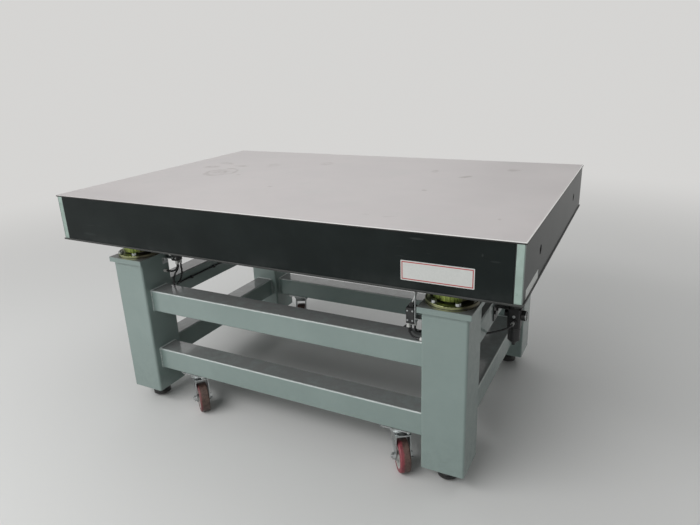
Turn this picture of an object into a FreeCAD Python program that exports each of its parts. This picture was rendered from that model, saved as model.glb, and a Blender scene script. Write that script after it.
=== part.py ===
"""Heavy weighing balance table: a damped top floating on four air isolators in a welded frame on casters.

Units are millimetres. +X runs along the long side, +Y from the front to the rear, +Z up.
The origin is on the floor under the middle of the table.
"""
import FreeCAD, Part
import math
import os

V = FreeCAD.Vector
X = V(1, 0, 0)
Y = V(0, 1, 0)
Z = V(0, 0, 1)

# ---- fits and gaps shared by the whole table
RUN = 0.06              # radial gap of a shaft or stem that turns or slides
SLIP = 0.1              # radial gap of a bolt in its hole
AIR = 0.3               # gap between faces of bodies that move past each other

# ---- casters, which carry the frame
WHEEL_D = 100.0
WHEEL_W = 32.0
TYRE = 12.0             # radial thickness of the tread
TYRE_ROUND = 5.0
HUB_W = 30.0
HUB_BOSS_PROUD = 4.0    # boss past the rim on each side
HUB_BOSS_R = 13.0
HUB_RIM = 6.0
HUB_RECESS = 9.0
AXLE_D = 10.0
AXLE_AF = 17.0
AXLE_HEAD_H = 6.5
AXLE_PAST_NUT = 3.0
AXLE_WASHER_D = 24.0
AXLE_WASHER_T = 1.5
HUB_SIDE_GAP = 0.5      # hub boss to fork cheek
FORK_T = 3.0            # sheet of the pressed fork
FORK_FOOT_R = 14.0      # round foot of a cheek about the axle
FORK_FRONT = 22.0       # cheek ahead of the swivel axis
FORK_BACK = 50.0        # cheek behind the swivel axis
TRAIL = 35.0            # axle behind the swivel axis
CROWN_T = 4.0
CROWN_OVER_WHEEL = 20.7
RACE_D = 54.0
RACE_H = 9.0
RACE_COVER_T = 3.0
RACE_COVER_H = 5.0
RACE_COVER_GAP = 0.6
KINGPIN_D = 14.0
KINGPIN_HEAD_D = 22.0
KINGPIN_HEAD_H = 5.0
CASTER_PLATE_L = 100.0
CASTER_PLATE_W = 72.0
CASTER_PLATE_T = 4.0
CASTER_BOLTS_X = 80.0   # hole to hole along the beam
CASTER_BOLTS_Y = 48.0   # hole to hole across the beam
CASTER_PLATE_ROUND = 8.0

# ---- welded frame
BEAM = 75.0             # square tube of the beams
BEAM_WALL = 4.5
BEAM_ROUND = 5.0
BEAM_GAP = 142.0        # between lower and upper beams
LEG = 125.0             # square tube of the legs
LEG_WALL = 6.0
LEG_ROUND = 7.0
LEG_BELOW = 83.0        # leg below the lower beams
LEG_ABOVE = 99.0        # leg above the upper beams, up to its top plate
LEG_SPACING_X = 1100.0
LEG_SPACING_Y = 743.0
LEG_PLATE = 143.0
LEG_PLATE_T = 16.0
LEG_PLATE_ROUND = 1.5
BASE_PLATE_T = 12.0
BASE_PLATE_GAP = 0.2    # round the base plate, inside the leg
BASE_PLATE_ROUND = 2.0

# ---- levelling feet, screwed up clear of the floor
FOOT_CLEAR = 10.0
FOOT_D = 60.0
FOOT_RIM = 10.0
FOOT_CONE = 18.0
FOOT_LEDGE = 2.0        # flat of the rim round the cone
FOOT_NECK_D = 26.0
FOOT_SOCKET = 12.0
STEM_D = 16.0
STEM_IN_LEG = 55.0      # stem above the base plate's lower face
LOCK_NUT_AF = 24.0
LOCK_NUT_H = 13.0

# ---- air isolators
ISOLATOR_GAP = 65.0     # leg plate to the underside of the top
CHAMBER_D = 98.0
CHAMBER_WALL = 4.0
CHAMBER_DEPTH = 150.0
FLANGE_D = 140.0
LIP_T = 3.0             # chamber lip on the leg plate
DIAPHRAGM_T = 2.0
FLANGE_T = 8.0
FLANGE_ROUND = 2.5
FLANGE_ROOM = 1.2       # flange bore round the piston
FLANGE_BOLTS = 6
FLANGE_PCD = 124.0
PISTON_D = 78.0
PISTON_DEPTH = 55.0     # piston below the leg plate's upper face
PISTON_WALL = 5.0
COLLAR_D = 100.0
COLLAR_OVER_FLANGE = 4.0
COLLAR_RIBS = 28
RIB_GROOVE_D = 6.0
M8 = 8.0
M8_AF = 13.0
M8_HEAD = 5.3
M8_WASHER_D = 16.0
M8_WASHER_T = 1.6
M8_NUT_H = 6.5
M8_PAST_NUT = 3.0
FLANGE_BOLT_IN_PLATE = 14.0

# ---- table top
TOP_LENGTH = 1500.0
TOP_WIDTH = 1000.0
TOP_THICKNESS = 150.0
SKIN = 5.0
SKIN_ROUND = 0.8
OVERHANG = 3.0          # skins past the side panels
POST = 20.0
POST_ROUND = 1.0
PANEL = 18.0            # damped board behind the front and rear faces
PANEL_SEAM = 0.5
SIDE_COVER = 1.5        # sheet that runs past the posts on the left and right
CELL = 60.0             # honeycomb cell across its flats
CELL_WALL = 1.2
CORE_EDGE = 2.5

# ---- what is fastened to the top
NAME_PLATE_L = 180.0
NAME_PLATE_H = 50.0
NAME_PLATE_T = 1.0
NAME_PLATE_ROUND = 2.0
NAME_PLATE_IN = 86.0    # its end in from the right front post
NAME_PLATE_UP = 51.0    # its middle above the underside
LABEL_L = 149.0
LABEL_H = 23.0
LABEL_T = 0.4
LABEL_IN = 32.0         # its end in from the front face
LABEL_UP = 17.5
PLUG_D = 25.0
PLUG_DEPTH = 8.0
PLUG_SOCKET_AF = 10.0
PLUG_SOCKET = 4.0
PLUG_IN = 197.0         # lifting holes in from the front and rear faces
PLUG_UP = 75.0

# ---- height valves, one at each front leg and one for the two rear legs
VALVE_X = 24.0
VALVE_Y = 28.0
VALVE_H = 44.0
VALVE_ROUND = 3.0
VALVE_EAR_T = 4.0
VALVE_EAR_H = 12.0
VALVE_EAR_W = 12.0
LEVER_EYE_D = 10.0
LEVER_EYE_W = 6.0
LEVER_PIN_D = 4.0
LEVER_PIN_PROUD = 1.0   # pin past the ears
LEVER_ROD_D = 5.0
LEVER_REACH = 26.0      # from the pivot to the tip, along X
LEVER_TIP_D = 12.0
LEVER_TIP_H = 8.0
LEVER_TIP_ROUND = 2.5
BRACKET_T = 2.0
BRACKET_W = 24.0
BRACKET_IN = 2.0        # bracket above the valve's lower face
BRACKET_RISE = 90.0
BRACKET_UNDER_TOP = 20.0  # least gap over its finger
BRACKET_FINGER = 7.0    # narrow upper end of the bracket, beside the lever
BRACKET_WEB_UP = 14.0
BRACKET_TAB = 24.0
SCREW_SPACING = 14.0
SCREW_HEAD_D = 8.0
SCREW_HEAD_H = 3.0
FITTING_D = 10.0
FITTING_L = 12.0
FITTING_COLLAR_D = 11.0
FITTING_COLLAR_L = 4.0

# ---- filter regulator on the right upper beam
REG_Y = -50.0
REG_OUT = 61.0          # its axis out from the beam
REG_SIDE = 40.0
REG_H = 60.0
REG_ROUND = 6.0
REG_ABOVE_BEAM_BOTTOM = -4.0
REG_NECK_D = 28.0
REG_NECK_H = 7.0
REG_BRACKET_T = 3.0
REG_BRACKET_W = 50.0
REG_BRACKET_UP = 12.0   # above the bottom of the beam
REG_SCREW_SPACING = 30.0
REG_SCREW_D = 12.0
REG_SCREW_H = 4.0
KNOB_D = 40.0
KNOB_H = 30.0
KNOB_GROOVES = 20
KNOB_GROOVE_D = 3.0
KNOB_ROUND = 3.0
BOWL_D = 38.0
BOWL_H = 43.0
BOWL_CONE = 15.0
DRAIN_D = 10.0
DRAIN_H = 4.0
PORT_D = 22.0
PORT_L = 4.0
SIDE_BOSS_L = 10.0      # blank port boss on the side of the beam
SIDE_BOSS_UP = 41.0
PORT_BORE_D = 11.8
PORT_DEPTH = 12.0
GAUGE_D = 32.0
GAUGE_T = 13.0
GAUGE_UP = 39.0
GAUGE_STEM_D = 9.0
GAUGE_STEM_L = 1.5
GAUGE_RIM = 1.5
GAUGE_RECESS = 5.0
GAUGE_PIN_D = 2.0
GAUGE_PIN_SHORT = 1.5   # pin end behind the rim
NEEDLE_T = 0.6
NEEDLE_L = 12.0
NEEDLE_TAIL = 3.5
NEEDLE_W = 1.2
NEEDLE_TURN = 135.0     # at zero pressure, from straight up
NEEDLE_HUB_D = 5.0

# ---- air tubes
TUBE_D = 6.0
CLIP_T = 2.0
CLIP_L = 8.0
CLIP_BACK = 0.8         # tube off the beam face
CLIPS = 4               # along each tube
CLIP_IN = 190.0         # first and last clip in from the inner faces of the legs
CLIP_IN_SIDE = 120.0    # the same on the left side
TUBE_BELOW_TOP = 29.0   # clipped tubes below the top of the upper beams
LEG_PORT_DROP = 43.0    # leg port below its height valve
PORT_MARGIN = 0.5       # release collars inside the valve's edges
CORNER_IN = 60.0        # frame corner in from the leg's axis; valves and tubes are placed from it

# ---- heights that follow from the sizes above
AXLE_Z = WHEEL_D / 2
CROWN_BOTTOM = WHEEL_D + CROWN_OVER_WHEEL
CROWN_TOP = CROWN_BOTTOM + CROWN_T
RACE_BOTTOM = CROWN_TOP + AIR
PLATE_BOTTOM = RACE_BOTTOM + RACE_H
LOWER_BEAM = PLATE_BOTTOM + CASTER_PLATE_T
UPPER_BEAM = LOWER_BEAM + BEAM + BEAM_GAP
LEG_BOTTOM = LOWER_BEAM - LEG_BELOW
LEG_TOP = UPPER_BEAM + BEAM + LEG_ABOVE
SEAT = LEG_TOP + LEG_PLATE_T
LIP_TOP = SEAT + LIP_T
DIAPHRAGM_TOP = LIP_TOP + DIAPHRAGM_T
FLANGE_TOP = DIAPHRAGM_TOP + FLANGE_T
UNDERSIDE = SEAT + ISOLATOR_GAP
TOP_SURFACE = UNDERSIDE + TOP_THICKNESS
CORE_BOTTOM = UNDERSIDE + SKIN
CORE_TOP = TOP_SURFACE - SKIN

# ---- plan positions that follow from the sizes above
LEG_X = LEG_SPACING_X / 2
LEG_Y = LEG_SPACING_Y / 2
LEG_INNER_X = LEG_X - LEG / 2
LEG_INNER_Y = LEG_Y - LEG / 2
BEAM_INNER_X = LEG_X - BEAM / 2
BEAM_INNER_Y = LEG_Y - BEAM / 2
FACE_X = TOP_LENGTH / 2 - OVERHANG
FACE_Y = TOP_WIDTH / 2 - OVERHANG
POST_X = FACE_X - SIDE_COVER
CORE_X = POST_X - POST
CORE_Y = FACE_Y - PANEL
FORK_INNER = HUB_W / 2 + HUB_BOSS_PROUD + HUB_SIDE_GAP
FORK_OUTER = FORK_INNER + FORK_T
REG_X = LEG_X + BEAM / 2 + REG_OUT
REG_BOTTOM = UPPER_BEAM + REG_ABOVE_BEAM_BOTTOM
REG_TOP = REG_BOTTOM + REG_H

CORNERS = {"fl": (-1, -1), "fr": (1, -1), "rl": (-1, 1), "rr": (1, 1)}
# swivel axis in from the leg's inner face, and the way that the wheel trails, in degrees from +X
CASTERS = {"fl": (129.5, -40.0), "fr": (88.5, -54.0), "rl": (91.5, -62.0), "rr": (91.5, -35.0)}
# middle of each height valve's lower face, from the frame corner of its leg
VALVES = {"fr": V(-41, -26.5, 50), "fl": V(60, 43.5, 92), "rl": V(41, 26.5, 50)}


def box(x0, x1, y0, y1, z0, z1):
    return Part.makeBox(x1 - x0, y1 - y0, z1 - z0, V(x0, y0, z0))


def rod(diameter, start, direction, length):
    return Part.makeCylinder(diameter / 2, length, start, direction)


def ring(outer_d, inner_d, start, direction, length):
    return rod(outer_d, start, direction, length).cut(rod(inner_d, start, direction, length))


def rounded_bar(width, depth, height, radius, base):
    """An upright bar centred on base, with its four upright edges rounded."""
    bar = box(-width / 2, width / 2, -depth / 2, depth / 2, 0, height)
    upright = [e for e in bar.Edges if abs(e.Vertexes[0].Z - e.Vertexes[1].Z) > height / 2]
    bar = bar.makeFillet(radius, upright)
    bar.translate(base)
    return bar


def square_tube(side, wall, radius, height):
    outer = rounded_bar(side, side, height, radius, V(0, 0, 0))
    inner = rounded_bar(side - 2 * wall, side - 2 * wall, height, max(radius - wall, 0.5), V(0, 0, 0))
    return outer.cut(inner)


def polar(radius, degrees, z=0.0):
    angle = math.radians(degrees)
    return V(radius * math.cos(angle), radius * math.sin(angle), z)


def on_circle(diameter, count, z):
    """Points evenly spaced on a circle about the Z axis."""
    return [polar(diameter / 2, 360.0 * i / count, z) for i in range(count)]


def hexagon(across_flats, start, direction, length):
    """A hexagonal bar that starts at a point and runs along a direction."""
    outline = Part.makePolygon([polar(across_flats / math.sqrt(3), 60 * i) for i in range(7)])
    bar = Part.Face(outline).extrude(V(0, 0, length))
    bar.Placement = FreeCAD.Placement(start, FreeCAD.Rotation(Z, direction))
    return bar


def moved(shape, x=0.0, y=0.0, z=0.0):
    copy = shape.copy()
    copy.translate(V(x, y, z))
    return copy


def turned(shape, degrees):
    copy = shape.copy()
    copy.rotate(V(0, 0, 0), Z, degrees)
    return copy


def frame_corner(name):
    """Point near a leg's inner face, on the beam's centre line, level with the top of the upper beams."""
    sx, sy = CORNERS[name]
    return V(sx * (LEG_X - CORNER_IN), sy * LEG_Y, UPPER_BEAM + BEAM)


def near_corner(name, offsets):
    return [frame_corner(name) + V(*offset) for offset in offsets]


def at_legs(shape):
    return [moved(shape, sx * LEG_X, sy * LEG_Y) for sx, sy in CORNERS.values()]


def save(name, solids):
    shape = solids if isinstance(solids, Part.Shape) else Part.makeCompound(solids)
    assert shape.isValid(), name
    shape.exportStep("parts/" + name + ".step")


# ---------------------------------------------------------------- table top

def skin(z):
    sheet = box(-TOP_LENGTH / 2, TOP_LENGTH / 2, -TOP_WIDTH / 2, TOP_WIDTH / 2, z, z + SKIN)
    return sheet.makeFillet(SKIN_ROUND, sheet.Edges)


def honeycomb_core():
    """One block of hexagonal cells, open at the top and the bottom."""
    edge = Part.makePolygon([
        V(-CORE_X, -CORE_Y, 0), V(CORE_X, -CORE_Y, 0), V(CORE_X, CORE_Y, 0), V(-CORE_X, CORE_Y, 0),
        V(-CORE_X, -CORE_Y, 0),
    ])
    radius = (CELL - CELL_WALL) / math.sqrt(3)
    row_step = CELL * math.sqrt(3) / 2
    room_x = CORE_X - CORE_EDGE - CELL / 2
    room_y = CORE_Y - CORE_EDGE - radius
    rows = int(room_y / row_step)
    wires = [edge]
    for row in range(-rows, rows + 1):
        shift = CELL / 2 if row % 2 else 0.0
        for column in range(-int(room_x / CELL) - 1, int(room_x / CELL) + 2):
            centre = V(column * CELL + shift, row * row_step, 0)
            if abs(centre.x) <= room_x:
                wires.append(Part.makePolygon([centre + polar(radius, 30 - 60 * i) for i in range(7)]))
    face = Part.Face(wires)
    core = face.extrude(V(0, 0, CORE_TOP - CORE_BOTTOM))
    return moved(core, z=CORE_BOTTOM)


def long_panel(side):
    """Front (side -1) or rear (side 1) board, which sits between the corner posts."""
    half = CORE_X - PANEL_SEAM
    y0 = min(side * CORE_Y, side * FACE_Y)
    return box(-half, half, y0, y0 + PANEL, CORE_BOTTOM, CORE_TOP)


def end_panel(side):
    """Left (side -1) or right (side 1) board, with a cover that runs past the posts."""
    board = box(CORE_X, POST_X, PANEL_SEAM + POST - FACE_Y, FACE_Y - POST - PANEL_SEAM, CORE_BOTTOM, CORE_TOP)
    cover = box(POST_X, FACE_X, -FACE_Y, FACE_Y, CORE_BOTTOM, CORE_TOP)
    panel = board.fuse(cover).removeSplitter()
    for y in (PLUG_IN - FACE_Y, FACE_Y - PLUG_IN):
        panel = panel.cut(rod(PLUG_D + 2 * SLIP, V(FACE_X, y, UNDERSIDE + PLUG_UP), -X, PLUG_DEPTH))
    return panel if side > 0 else turned(panel, 180)


def corner_posts():
    post = rounded_bar(POST, POST, CORE_TOP - CORE_BOTTOM, POST_ROUND, V(0, 0, CORE_BOTTOM))
    return [
        moved(post, sx * (POST_X - POST / 2), sy * (FACE_Y - POST / 2))
        for sx, sy in CORNERS.values()
    ]


def name_plates():
    """The bare plate on the front and the bare label on the right side."""
    plate = rounded_bar(NAME_PLATE_L, NAME_PLATE_H, NAME_PLATE_T, NAME_PLATE_ROUND, V(0, 0, 0))
    plate.rotate(V(0, 0, 0), X, 90)
    plate_x = CORE_X - NAME_PLATE_IN - NAME_PLATE_L / 2
    plate.translate(V(plate_x, -FACE_Y, UNDERSIDE + NAME_PLATE_UP))
    label_bottom = UNDERSIDE + LABEL_UP - LABEL_H / 2
    label_front = LABEL_IN - FACE_Y
    label = box(FACE_X, FACE_X + LABEL_T, label_front, label_front + LABEL_L,
                label_bottom, label_bottom + LABEL_H)
    return [plate, label]


def lifting_plugs():
    """Screw plugs in the four lifting holes of the end panels."""
    plug = rod(PLUG_D, V(FACE_X, 0, UNDERSIDE + PLUG_UP), -X, PLUG_DEPTH)
    plug = plug.cut(hexagon(PLUG_SOCKET_AF, V(FACE_X, 0, UNDERSIDE + PLUG_UP), -X, PLUG_SOCKET))
    right = [moved(plug, y=PLUG_IN - FACE_Y), moved(plug, y=FACE_Y - PLUG_IN)]
    return right + [turned(solid, 180) for solid in right]


# ---------------------------------------------------------------- frame

def leg(name):
    """A leg's square tube with its welded top plate and base plate."""
    sx, sy = CORNERS[name]
    tube = square_tube(LEG, LEG_WALL, LEG_ROUND, LEG_TOP - LEG_BOTTOM)
    tube.translate(V(sx * LEG_X, sy * LEG_Y, LEG_BOTTOM))
    tube = tube.cut(rod(TUBE_D, leg_port(name), V(sx, 0, 0), LEG_WALL + SLIP))
    top = rounded_bar(LEG_PLATE, LEG_PLATE, LEG_PLATE_T, LEG_PLATE_ROUND, V(0, 0, LEG_TOP))
    top = top.cut(rod(CHAMBER_D + 2 * SLIP, V(0, 0, LEG_TOP), Z, LEG_PLATE_T))
    for point in on_circle(FLANGE_PCD, FLANGE_BOLTS, SEAT):
        top = top.cut(rod(M8 + 2 * SLIP, point, -Z, LEG_PLATE_T))
    side = LEG - 2 * LEG_WALL - 2 * BASE_PLATE_GAP
    base = rounded_bar(side, side, BASE_PLATE_T, BASE_PLATE_ROUND, V(0, 0, LEG_BOTTOM))
    base = base.cut(rod(STEM_D + 2 * RUN, V(0, 0, LEG_BOTTOM), Z, BASE_PLATE_T))
    return [tube, moved(top, sx * LEG_X, sy * LEG_Y), moved(base, sx * LEG_X, sy * LEG_Y)]


def long_beams(z):
    """Front and rear beams, between the inner faces of the legs."""
    length = 2 * LEG_INNER_X
    beam = square_tube(BEAM, BEAM_WALL, BEAM_ROUND, length)
    beam.rotate(V(0, 0, 0), Y, 90)
    beam.translate(V(-LEG_INNER_X, 0, z + BEAM / 2))
    return [moved(beam, y=-LEG_Y), moved(beam, y=LEG_Y)]


def cross_beams(z):
    """Left and right beams, between the legs."""
    length = 2 * LEG_INNER_Y
    beam = square_tube(BEAM, BEAM_WALL, BEAM_ROUND, length)
    beam.rotate(V(0, 0, 0), X, -90)
    beam.translate(V(0, -LEG_INNER_Y, z + BEAM / 2))
    return [moved(beam, x=-LEG_X), moved(beam, x=LEG_X)]


def caster_bolt_points():
    return [V(sx * CASTER_BOLTS_X / 2, sy * CASTER_BOLTS_Y / 2, 0) for sx, sy in CORNERS.values()]


def caster_places():
    """Name and swivel axis of each caster, on the centre lines of the long beams."""
    places = []
    for name, (inward, _) in CASTERS.items():
        sx, sy = CORNERS[name]
        places.append((name, V(sx * (LEG_INNER_X - inward), sy * LEG_Y, 0)))
    return places


def drilled_long_beams():
    beams = long_beams(LOWER_BEAM)
    drilled = []
    for index, beam in enumerate(beams):
        side = 2 * index - 1
        for name, centre in caster_places():
            if centre.y * side > 0:
                for point in caster_bolt_points():
                    hole = rod(M8 + 2 * SLIP, centre + point + V(0, 0, LOWER_BEAM), Z, BEAM_WALL + BEAM_ROUND)
                    beam = beam.cut(hole)
        drilled.append(beam)
    return drilled


# ---------------------------------------------------------------- isolators

def drill_flange(shape, z, depth):
    for point in on_circle(FLANGE_PCD, FLANGE_BOLTS, z):
        shape = shape.cut(rod(M8 + 2 * SLIP, point, -Z, depth))
    return shape


def chamber():
    """Pressure chamber that hangs in the leg from a lip on the leg plate."""
    bottom = SEAT - CHAMBER_DEPTH
    cup = rod(CHAMBER_D, V(0, 0, bottom), Z, CHAMBER_DEPTH)
    lip = rod(FLANGE_D, V(0, 0, SEAT), Z, LIP_T)
    bore = rod(CHAMBER_D - 2 * CHAMBER_WALL, V(0, 0, bottom + CHAMBER_WALL), Z, CHAMBER_DEPTH + LIP_T)
    return drill_flange(cup.fuse(lip).cut(bore), LIP_TOP, LIP_T)


def diaphragm():
    sheet = ring(FLANGE_D, PISTON_D + 2 * AIR, V(0, 0, LIP_TOP), Z, DIAPHRAGM_T)
    return drill_flange(sheet, DIAPHRAGM_TOP, DIAPHRAGM_T)


def flange():
    """Clamp ring over the diaphragm, with a rounded upper rim."""
    disc = rod(FLANGE_D, V(0, 0, DIAPHRAGM_TOP), Z, FLANGE_T)
    rim = [e for e in disc.Edges if e.BoundBox.ZMin > FLANGE_TOP - 0.1]
    disc = disc.makeFillet(FLANGE_ROUND, rim)
    disc = disc.cut(rod(PISTON_D + 2 * FLANGE_ROOM, V(0, 0, DIAPHRAGM_TOP), Z, FLANGE_T))
    return drill_flange(disc, FLANGE_TOP, FLANGE_T)


def flange_bolt():
    washer = ring(M8_WASHER_D, M8 + 2 * SLIP, V(0, 0, FLANGE_TOP), Z, M8_WASHER_T)
    seat = FLANGE_TOP + M8_WASHER_T
    shank = rod(M8, V(0, 0, SEAT - FLANGE_BOLT_IN_PLATE), Z, seat - SEAT + FLANGE_BOLT_IN_PLATE)
    return [washer, shank.fuse(hexagon(M8_AF, V(0, 0, seat), Z, M8_HEAD))]


def isolator_bolts():
    bolts = []
    for point in on_circle(FLANGE_PCD, FLANGE_BOLTS, 0):
        for solid in flange_bolt():
            bolts += at_legs(moved(solid, point.x, point.y))
    return bolts


def piston():
    """Hollow piston, closed at its head, which carries the collar."""
    bottom = SEAT - PISTON_DEPTH
    head = FLANGE_TOP + COLLAR_OVER_FLANGE
    body = rod(PISTON_D, V(0, 0, bottom), Z, head - bottom)
    hollow = rod(PISTON_D - 2 * PISTON_WALL, V(0, 0, bottom), Z, head - bottom - PISTON_WALL)
    return body.cut(hollow)


def load_collar():
    """Ribbed collar between the piston and the underside of the top."""
    bottom = FLANGE_TOP + COLLAR_OVER_FLANGE
    collar = rod(COLLAR_D, V(0, 0, bottom), Z, UNDERSIDE - bottom)
    for point in on_circle(COLLAR_D + RIB_GROOVE_D / 2, COLLAR_RIBS, bottom):
        collar = collar.cut(rod(RIB_GROOVE_D, point, Z, UNDERSIDE - bottom))
    return collar


# ---------------------------------------------------------------- feet

def foot():
    """Conical pad with a threaded stem that passes the base plate."""
    rim_top = FOOT_CLEAR + FOOT_RIM
    neck = rim_top + FOOT_CONE
    pad = rod(FOOT_D, V(0, 0, FOOT_CLEAR), Z, FOOT_RIM)
    cone = Part.makeCone(FOOT_D / 2 - FOOT_LEDGE, FOOT_NECK_D / 2, FOOT_CONE, V(0, 0, rim_top), Z)
    pad = pad.fuse(cone)
    pad = pad.cut(rod(STEM_D + 2 * SLIP, V(0, 0, neck - FOOT_SOCKET), Z, FOOT_SOCKET))
    stem = rod(STEM_D, V(0, 0, neck - FOOT_SOCKET), Z, LEG_BOTTOM + STEM_IN_LEG - neck + FOOT_SOCKET)
    return [pad, stem]


def lock_nut():
    nut = hexagon(LOCK_NUT_AF, V(0, 0, LEG_BOTTOM - LOCK_NUT_H), Z, LOCK_NUT_H)
    return nut.cut(rod(STEM_D + 2 * RUN, V(0, 0, LEG_BOTTOM - LOCK_NUT_H), Z, LOCK_NUT_H))


# ---------------------------------------------------------------- casters
# Each is drawn with its swivel axis on Z and its wheel trailing along +X.

def caster_plate():
    """Mounting plate with the fixed race and the kingpin."""
    plate = rounded_bar(CASTER_PLATE_L, CASTER_PLATE_W, CASTER_PLATE_T, CASTER_PLATE_ROUND,
                        V(0, 0, PLATE_BOTTOM))
    race = rod(RACE_D, V(0, 0, RACE_BOTTOM), Z, RACE_H)
    pin_bottom = CROWN_BOTTOM - AIR
    pin = rod(KINGPIN_D, V(0, 0, pin_bottom), Z, RACE_BOTTOM - pin_bottom)
    head = rod(KINGPIN_HEAD_D, V(0, 0, pin_bottom - KINGPIN_HEAD_H), Z, KINGPIN_HEAD_H)
    body = plate.fuse([race, pin, head])
    for point in caster_bolt_points():
        body = body.cut(rod(M8 + 2 * SLIP, point + V(0, 0, PLATE_BOTTOM), Z, CASTER_PLATE_T))
    return body


def caster_bolt():
    """Bolt from below through the plate and the beam's lower wall, with its washer and nut."""
    washer = ring(M8_WASHER_D, M8 + 2 * SLIP, V(0, 0, PLATE_BOTTOM), -Z, M8_WASHER_T)
    seat = PLATE_BOTTOM - M8_WASHER_T
    nut_bottom = LOWER_BEAM + BEAM_WALL
    shank = rod(M8, V(0, 0, seat), Z, nut_bottom + M8_NUT_H + M8_PAST_NUT - seat)
    bolt = shank.fuse(hexagon(M8_AF, V(0, 0, seat), -Z, M8_HEAD))
    nut = hexagon(M8_AF, V(0, 0, nut_bottom), Z, M8_NUT_H)
    nut = nut.cut(rod(M8 + 2 * SLIP, V(0, 0, nut_bottom), Z, M8_NUT_H))
    return [washer, bolt, nut]


def cheek_profile():
    """One cheek of the fork, from the crown down to the axle, in the XZ plane."""
    polygon = Part.makePolygon([
        V(-FORK_FRONT, 0, CROWN_TOP), V(FORK_BACK, 0, CROWN_TOP),
        V(TRAIL + FORK_FOOT_R, 0, AXLE_Z), V(TRAIL - FORK_FOOT_R, 0, AXLE_Z),
        V(-FORK_FRONT, 0, CROWN_BOTTOM - CROWN_T), V(-FORK_FRONT, 0, CROWN_TOP),
    ])
    plate = Part.Face(polygon).extrude(V(0, FORK_T, 0))
    return plate.fuse(rod(2 * FORK_FOOT_R, V(TRAIL, 0, AXLE_Z), Y, FORK_T)).removeSplitter()


def fork():
    """Pressed fork: two cheeks, a crown and the cover round the race."""
    cheek = cheek_profile()
    crown = box(-FORK_FRONT, FORK_BACK, -FORK_OUTER, FORK_OUTER, CROWN_BOTTOM, CROWN_TOP)
    cover_inner = RACE_D + 2 * RACE_COVER_GAP
    dish = rod(cover_inner + 2 * RACE_COVER_T, V(0, 0, CROWN_BOTTOM), Z, CROWN_T)
    cover = ring(cover_inner + 2 * RACE_COVER_T, cover_inner, V(0, 0, CROWN_TOP), Z, RACE_COVER_H)
    body = crown.fuse([dish, cover, moved(cheek, y=FORK_INNER), moved(cheek, y=-FORK_OUTER)])
    body = body.cut(rod(KINGPIN_D + 2 * RUN, V(0, 0, CROWN_BOTTOM), Z, CROWN_T))
    axle_hole = rod(AXLE_D + 2 * SLIP, V(TRAIL, -FORK_OUTER, AXLE_Z), Y, 2 * FORK_OUTER)
    return body.cut(axle_hole).removeSplitter()


def axle():
    """Axle bolt with its head, two washers and nut."""
    reach = FORK_OUTER + AXLE_WASHER_T
    past = AXLE_HEAD_H + AXLE_PAST_NUT
    shank = rod(AXLE_D, V(TRAIL, -reach - past, AXLE_Z), Y, 2 * reach + past)
    bolt = shank.fuse(hexagon(AXLE_AF, V(TRAIL, reach, AXLE_Z), Y, AXLE_HEAD_H))
    nut = hexagon(AXLE_AF, V(TRAIL, -reach, AXLE_Z), -Y, AXLE_HEAD_H)
    nut = nut.cut(rod(AXLE_D + 2 * SLIP, V(TRAIL, -reach, AXLE_Z), -Y, AXLE_HEAD_H))
    washer = ring(AXLE_WASHER_D, AXLE_D + 2 * SLIP, V(TRAIL, FORK_OUTER, AXLE_Z), Y, AXLE_WASHER_T)
    return [bolt, nut, washer, moved(washer, y=-reach - FORK_OUTER)]


def hub():
    """Wheel centre with a boss on the axle, a web and a rim under the tread."""
    rim_r = WHEEL_D / 2 - TYRE
    start = V(TRAIL, -HUB_W / 2, AXLE_Z)
    disc = rod(2 * rim_r, start, Y, HUB_W)
    pocket = ring(2 * (rim_r - HUB_RIM), 2 * HUB_BOSS_R, start, Y, HUB_RECESS)
    disc = disc.cut(pocket).cut(moved(pocket, y=HUB_W - HUB_RECESS))
    boss_w = 2 * (FORK_INNER - HUB_SIDE_GAP)
    disc = disc.fuse(rod(2 * HUB_BOSS_R, V(TRAIL, -boss_w / 2, AXLE_Z), Y, boss_w))
    return disc.cut(rod(AXLE_D + 2 * RUN, V(TRAIL, -boss_w / 2, AXLE_Z), Y, boss_w)).removeSplitter()


def tyre():
    start = V(TRAIL, -WHEEL_W / 2, AXLE_Z)
    tread = rod(WHEEL_D, start, Y, WHEEL_W)
    tread = tread.makeFillet(TYRE_ROUND, [e for e in tread.Edges if e.Closed and len(e.Vertexes) == 1])
    return tread.cut(rod(WHEEL_D - 2 * TYRE + 2 * RUN, start, Y, WHEEL_W))


def at_casters(shape):
    return [moved(shape, centre.x, centre.y) for _, centre in caster_places()]


def steered(solids, name):
    """Solids of one caster, turned the way its wheel trails and put at its place."""
    centre = dict(caster_places())[name]
    return [moved(turned(solid, CASTERS[name][1]), centre.x, centre.y) for solid in solids]


# ---------------------------------------------------------------- height valves

def valve_base(name):
    return frame_corner(name) + VALVES[name]


def valve_pivot(name):
    return valve_base(name) + V(0, 0, VALVE_H + VALVE_EAR_H - VALVE_EAR_W / 2)


def valve_body(name):
    """Valve block with two ears and the pin that the lever turns on."""
    x, y, bottom = valve_base(name)
    block = rounded_bar(VALVE_X, VALVE_Y, VALVE_H, VALVE_ROUND, V(x, y, bottom))
    pivot = valve_pivot(name)
    gap = LEVER_EYE_W + 2 * AIR
    ears = []
    for y0 in (y - gap / 2 - VALVE_EAR_T, y + gap / 2):
        ear = box(x - VALVE_EAR_W / 2, x + VALVE_EAR_W / 2, y0, y0 + VALVE_EAR_T, bottom + VALVE_H, pivot.z)
        ears.append(ear.fuse(rod(VALVE_EAR_W, V(x, y0, pivot.z), Y, VALVE_EAR_T)))
    width = gap + 2 * VALVE_EAR_T
    pin = rod(LEVER_PIN_D, V(x, y - width / 2 - LEVER_PIN_PROUD, pivot.z), Y, width + 2 * LEVER_PIN_PROUD)
    return block.fuse(ears + [pin]).removeSplitter()


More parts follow.
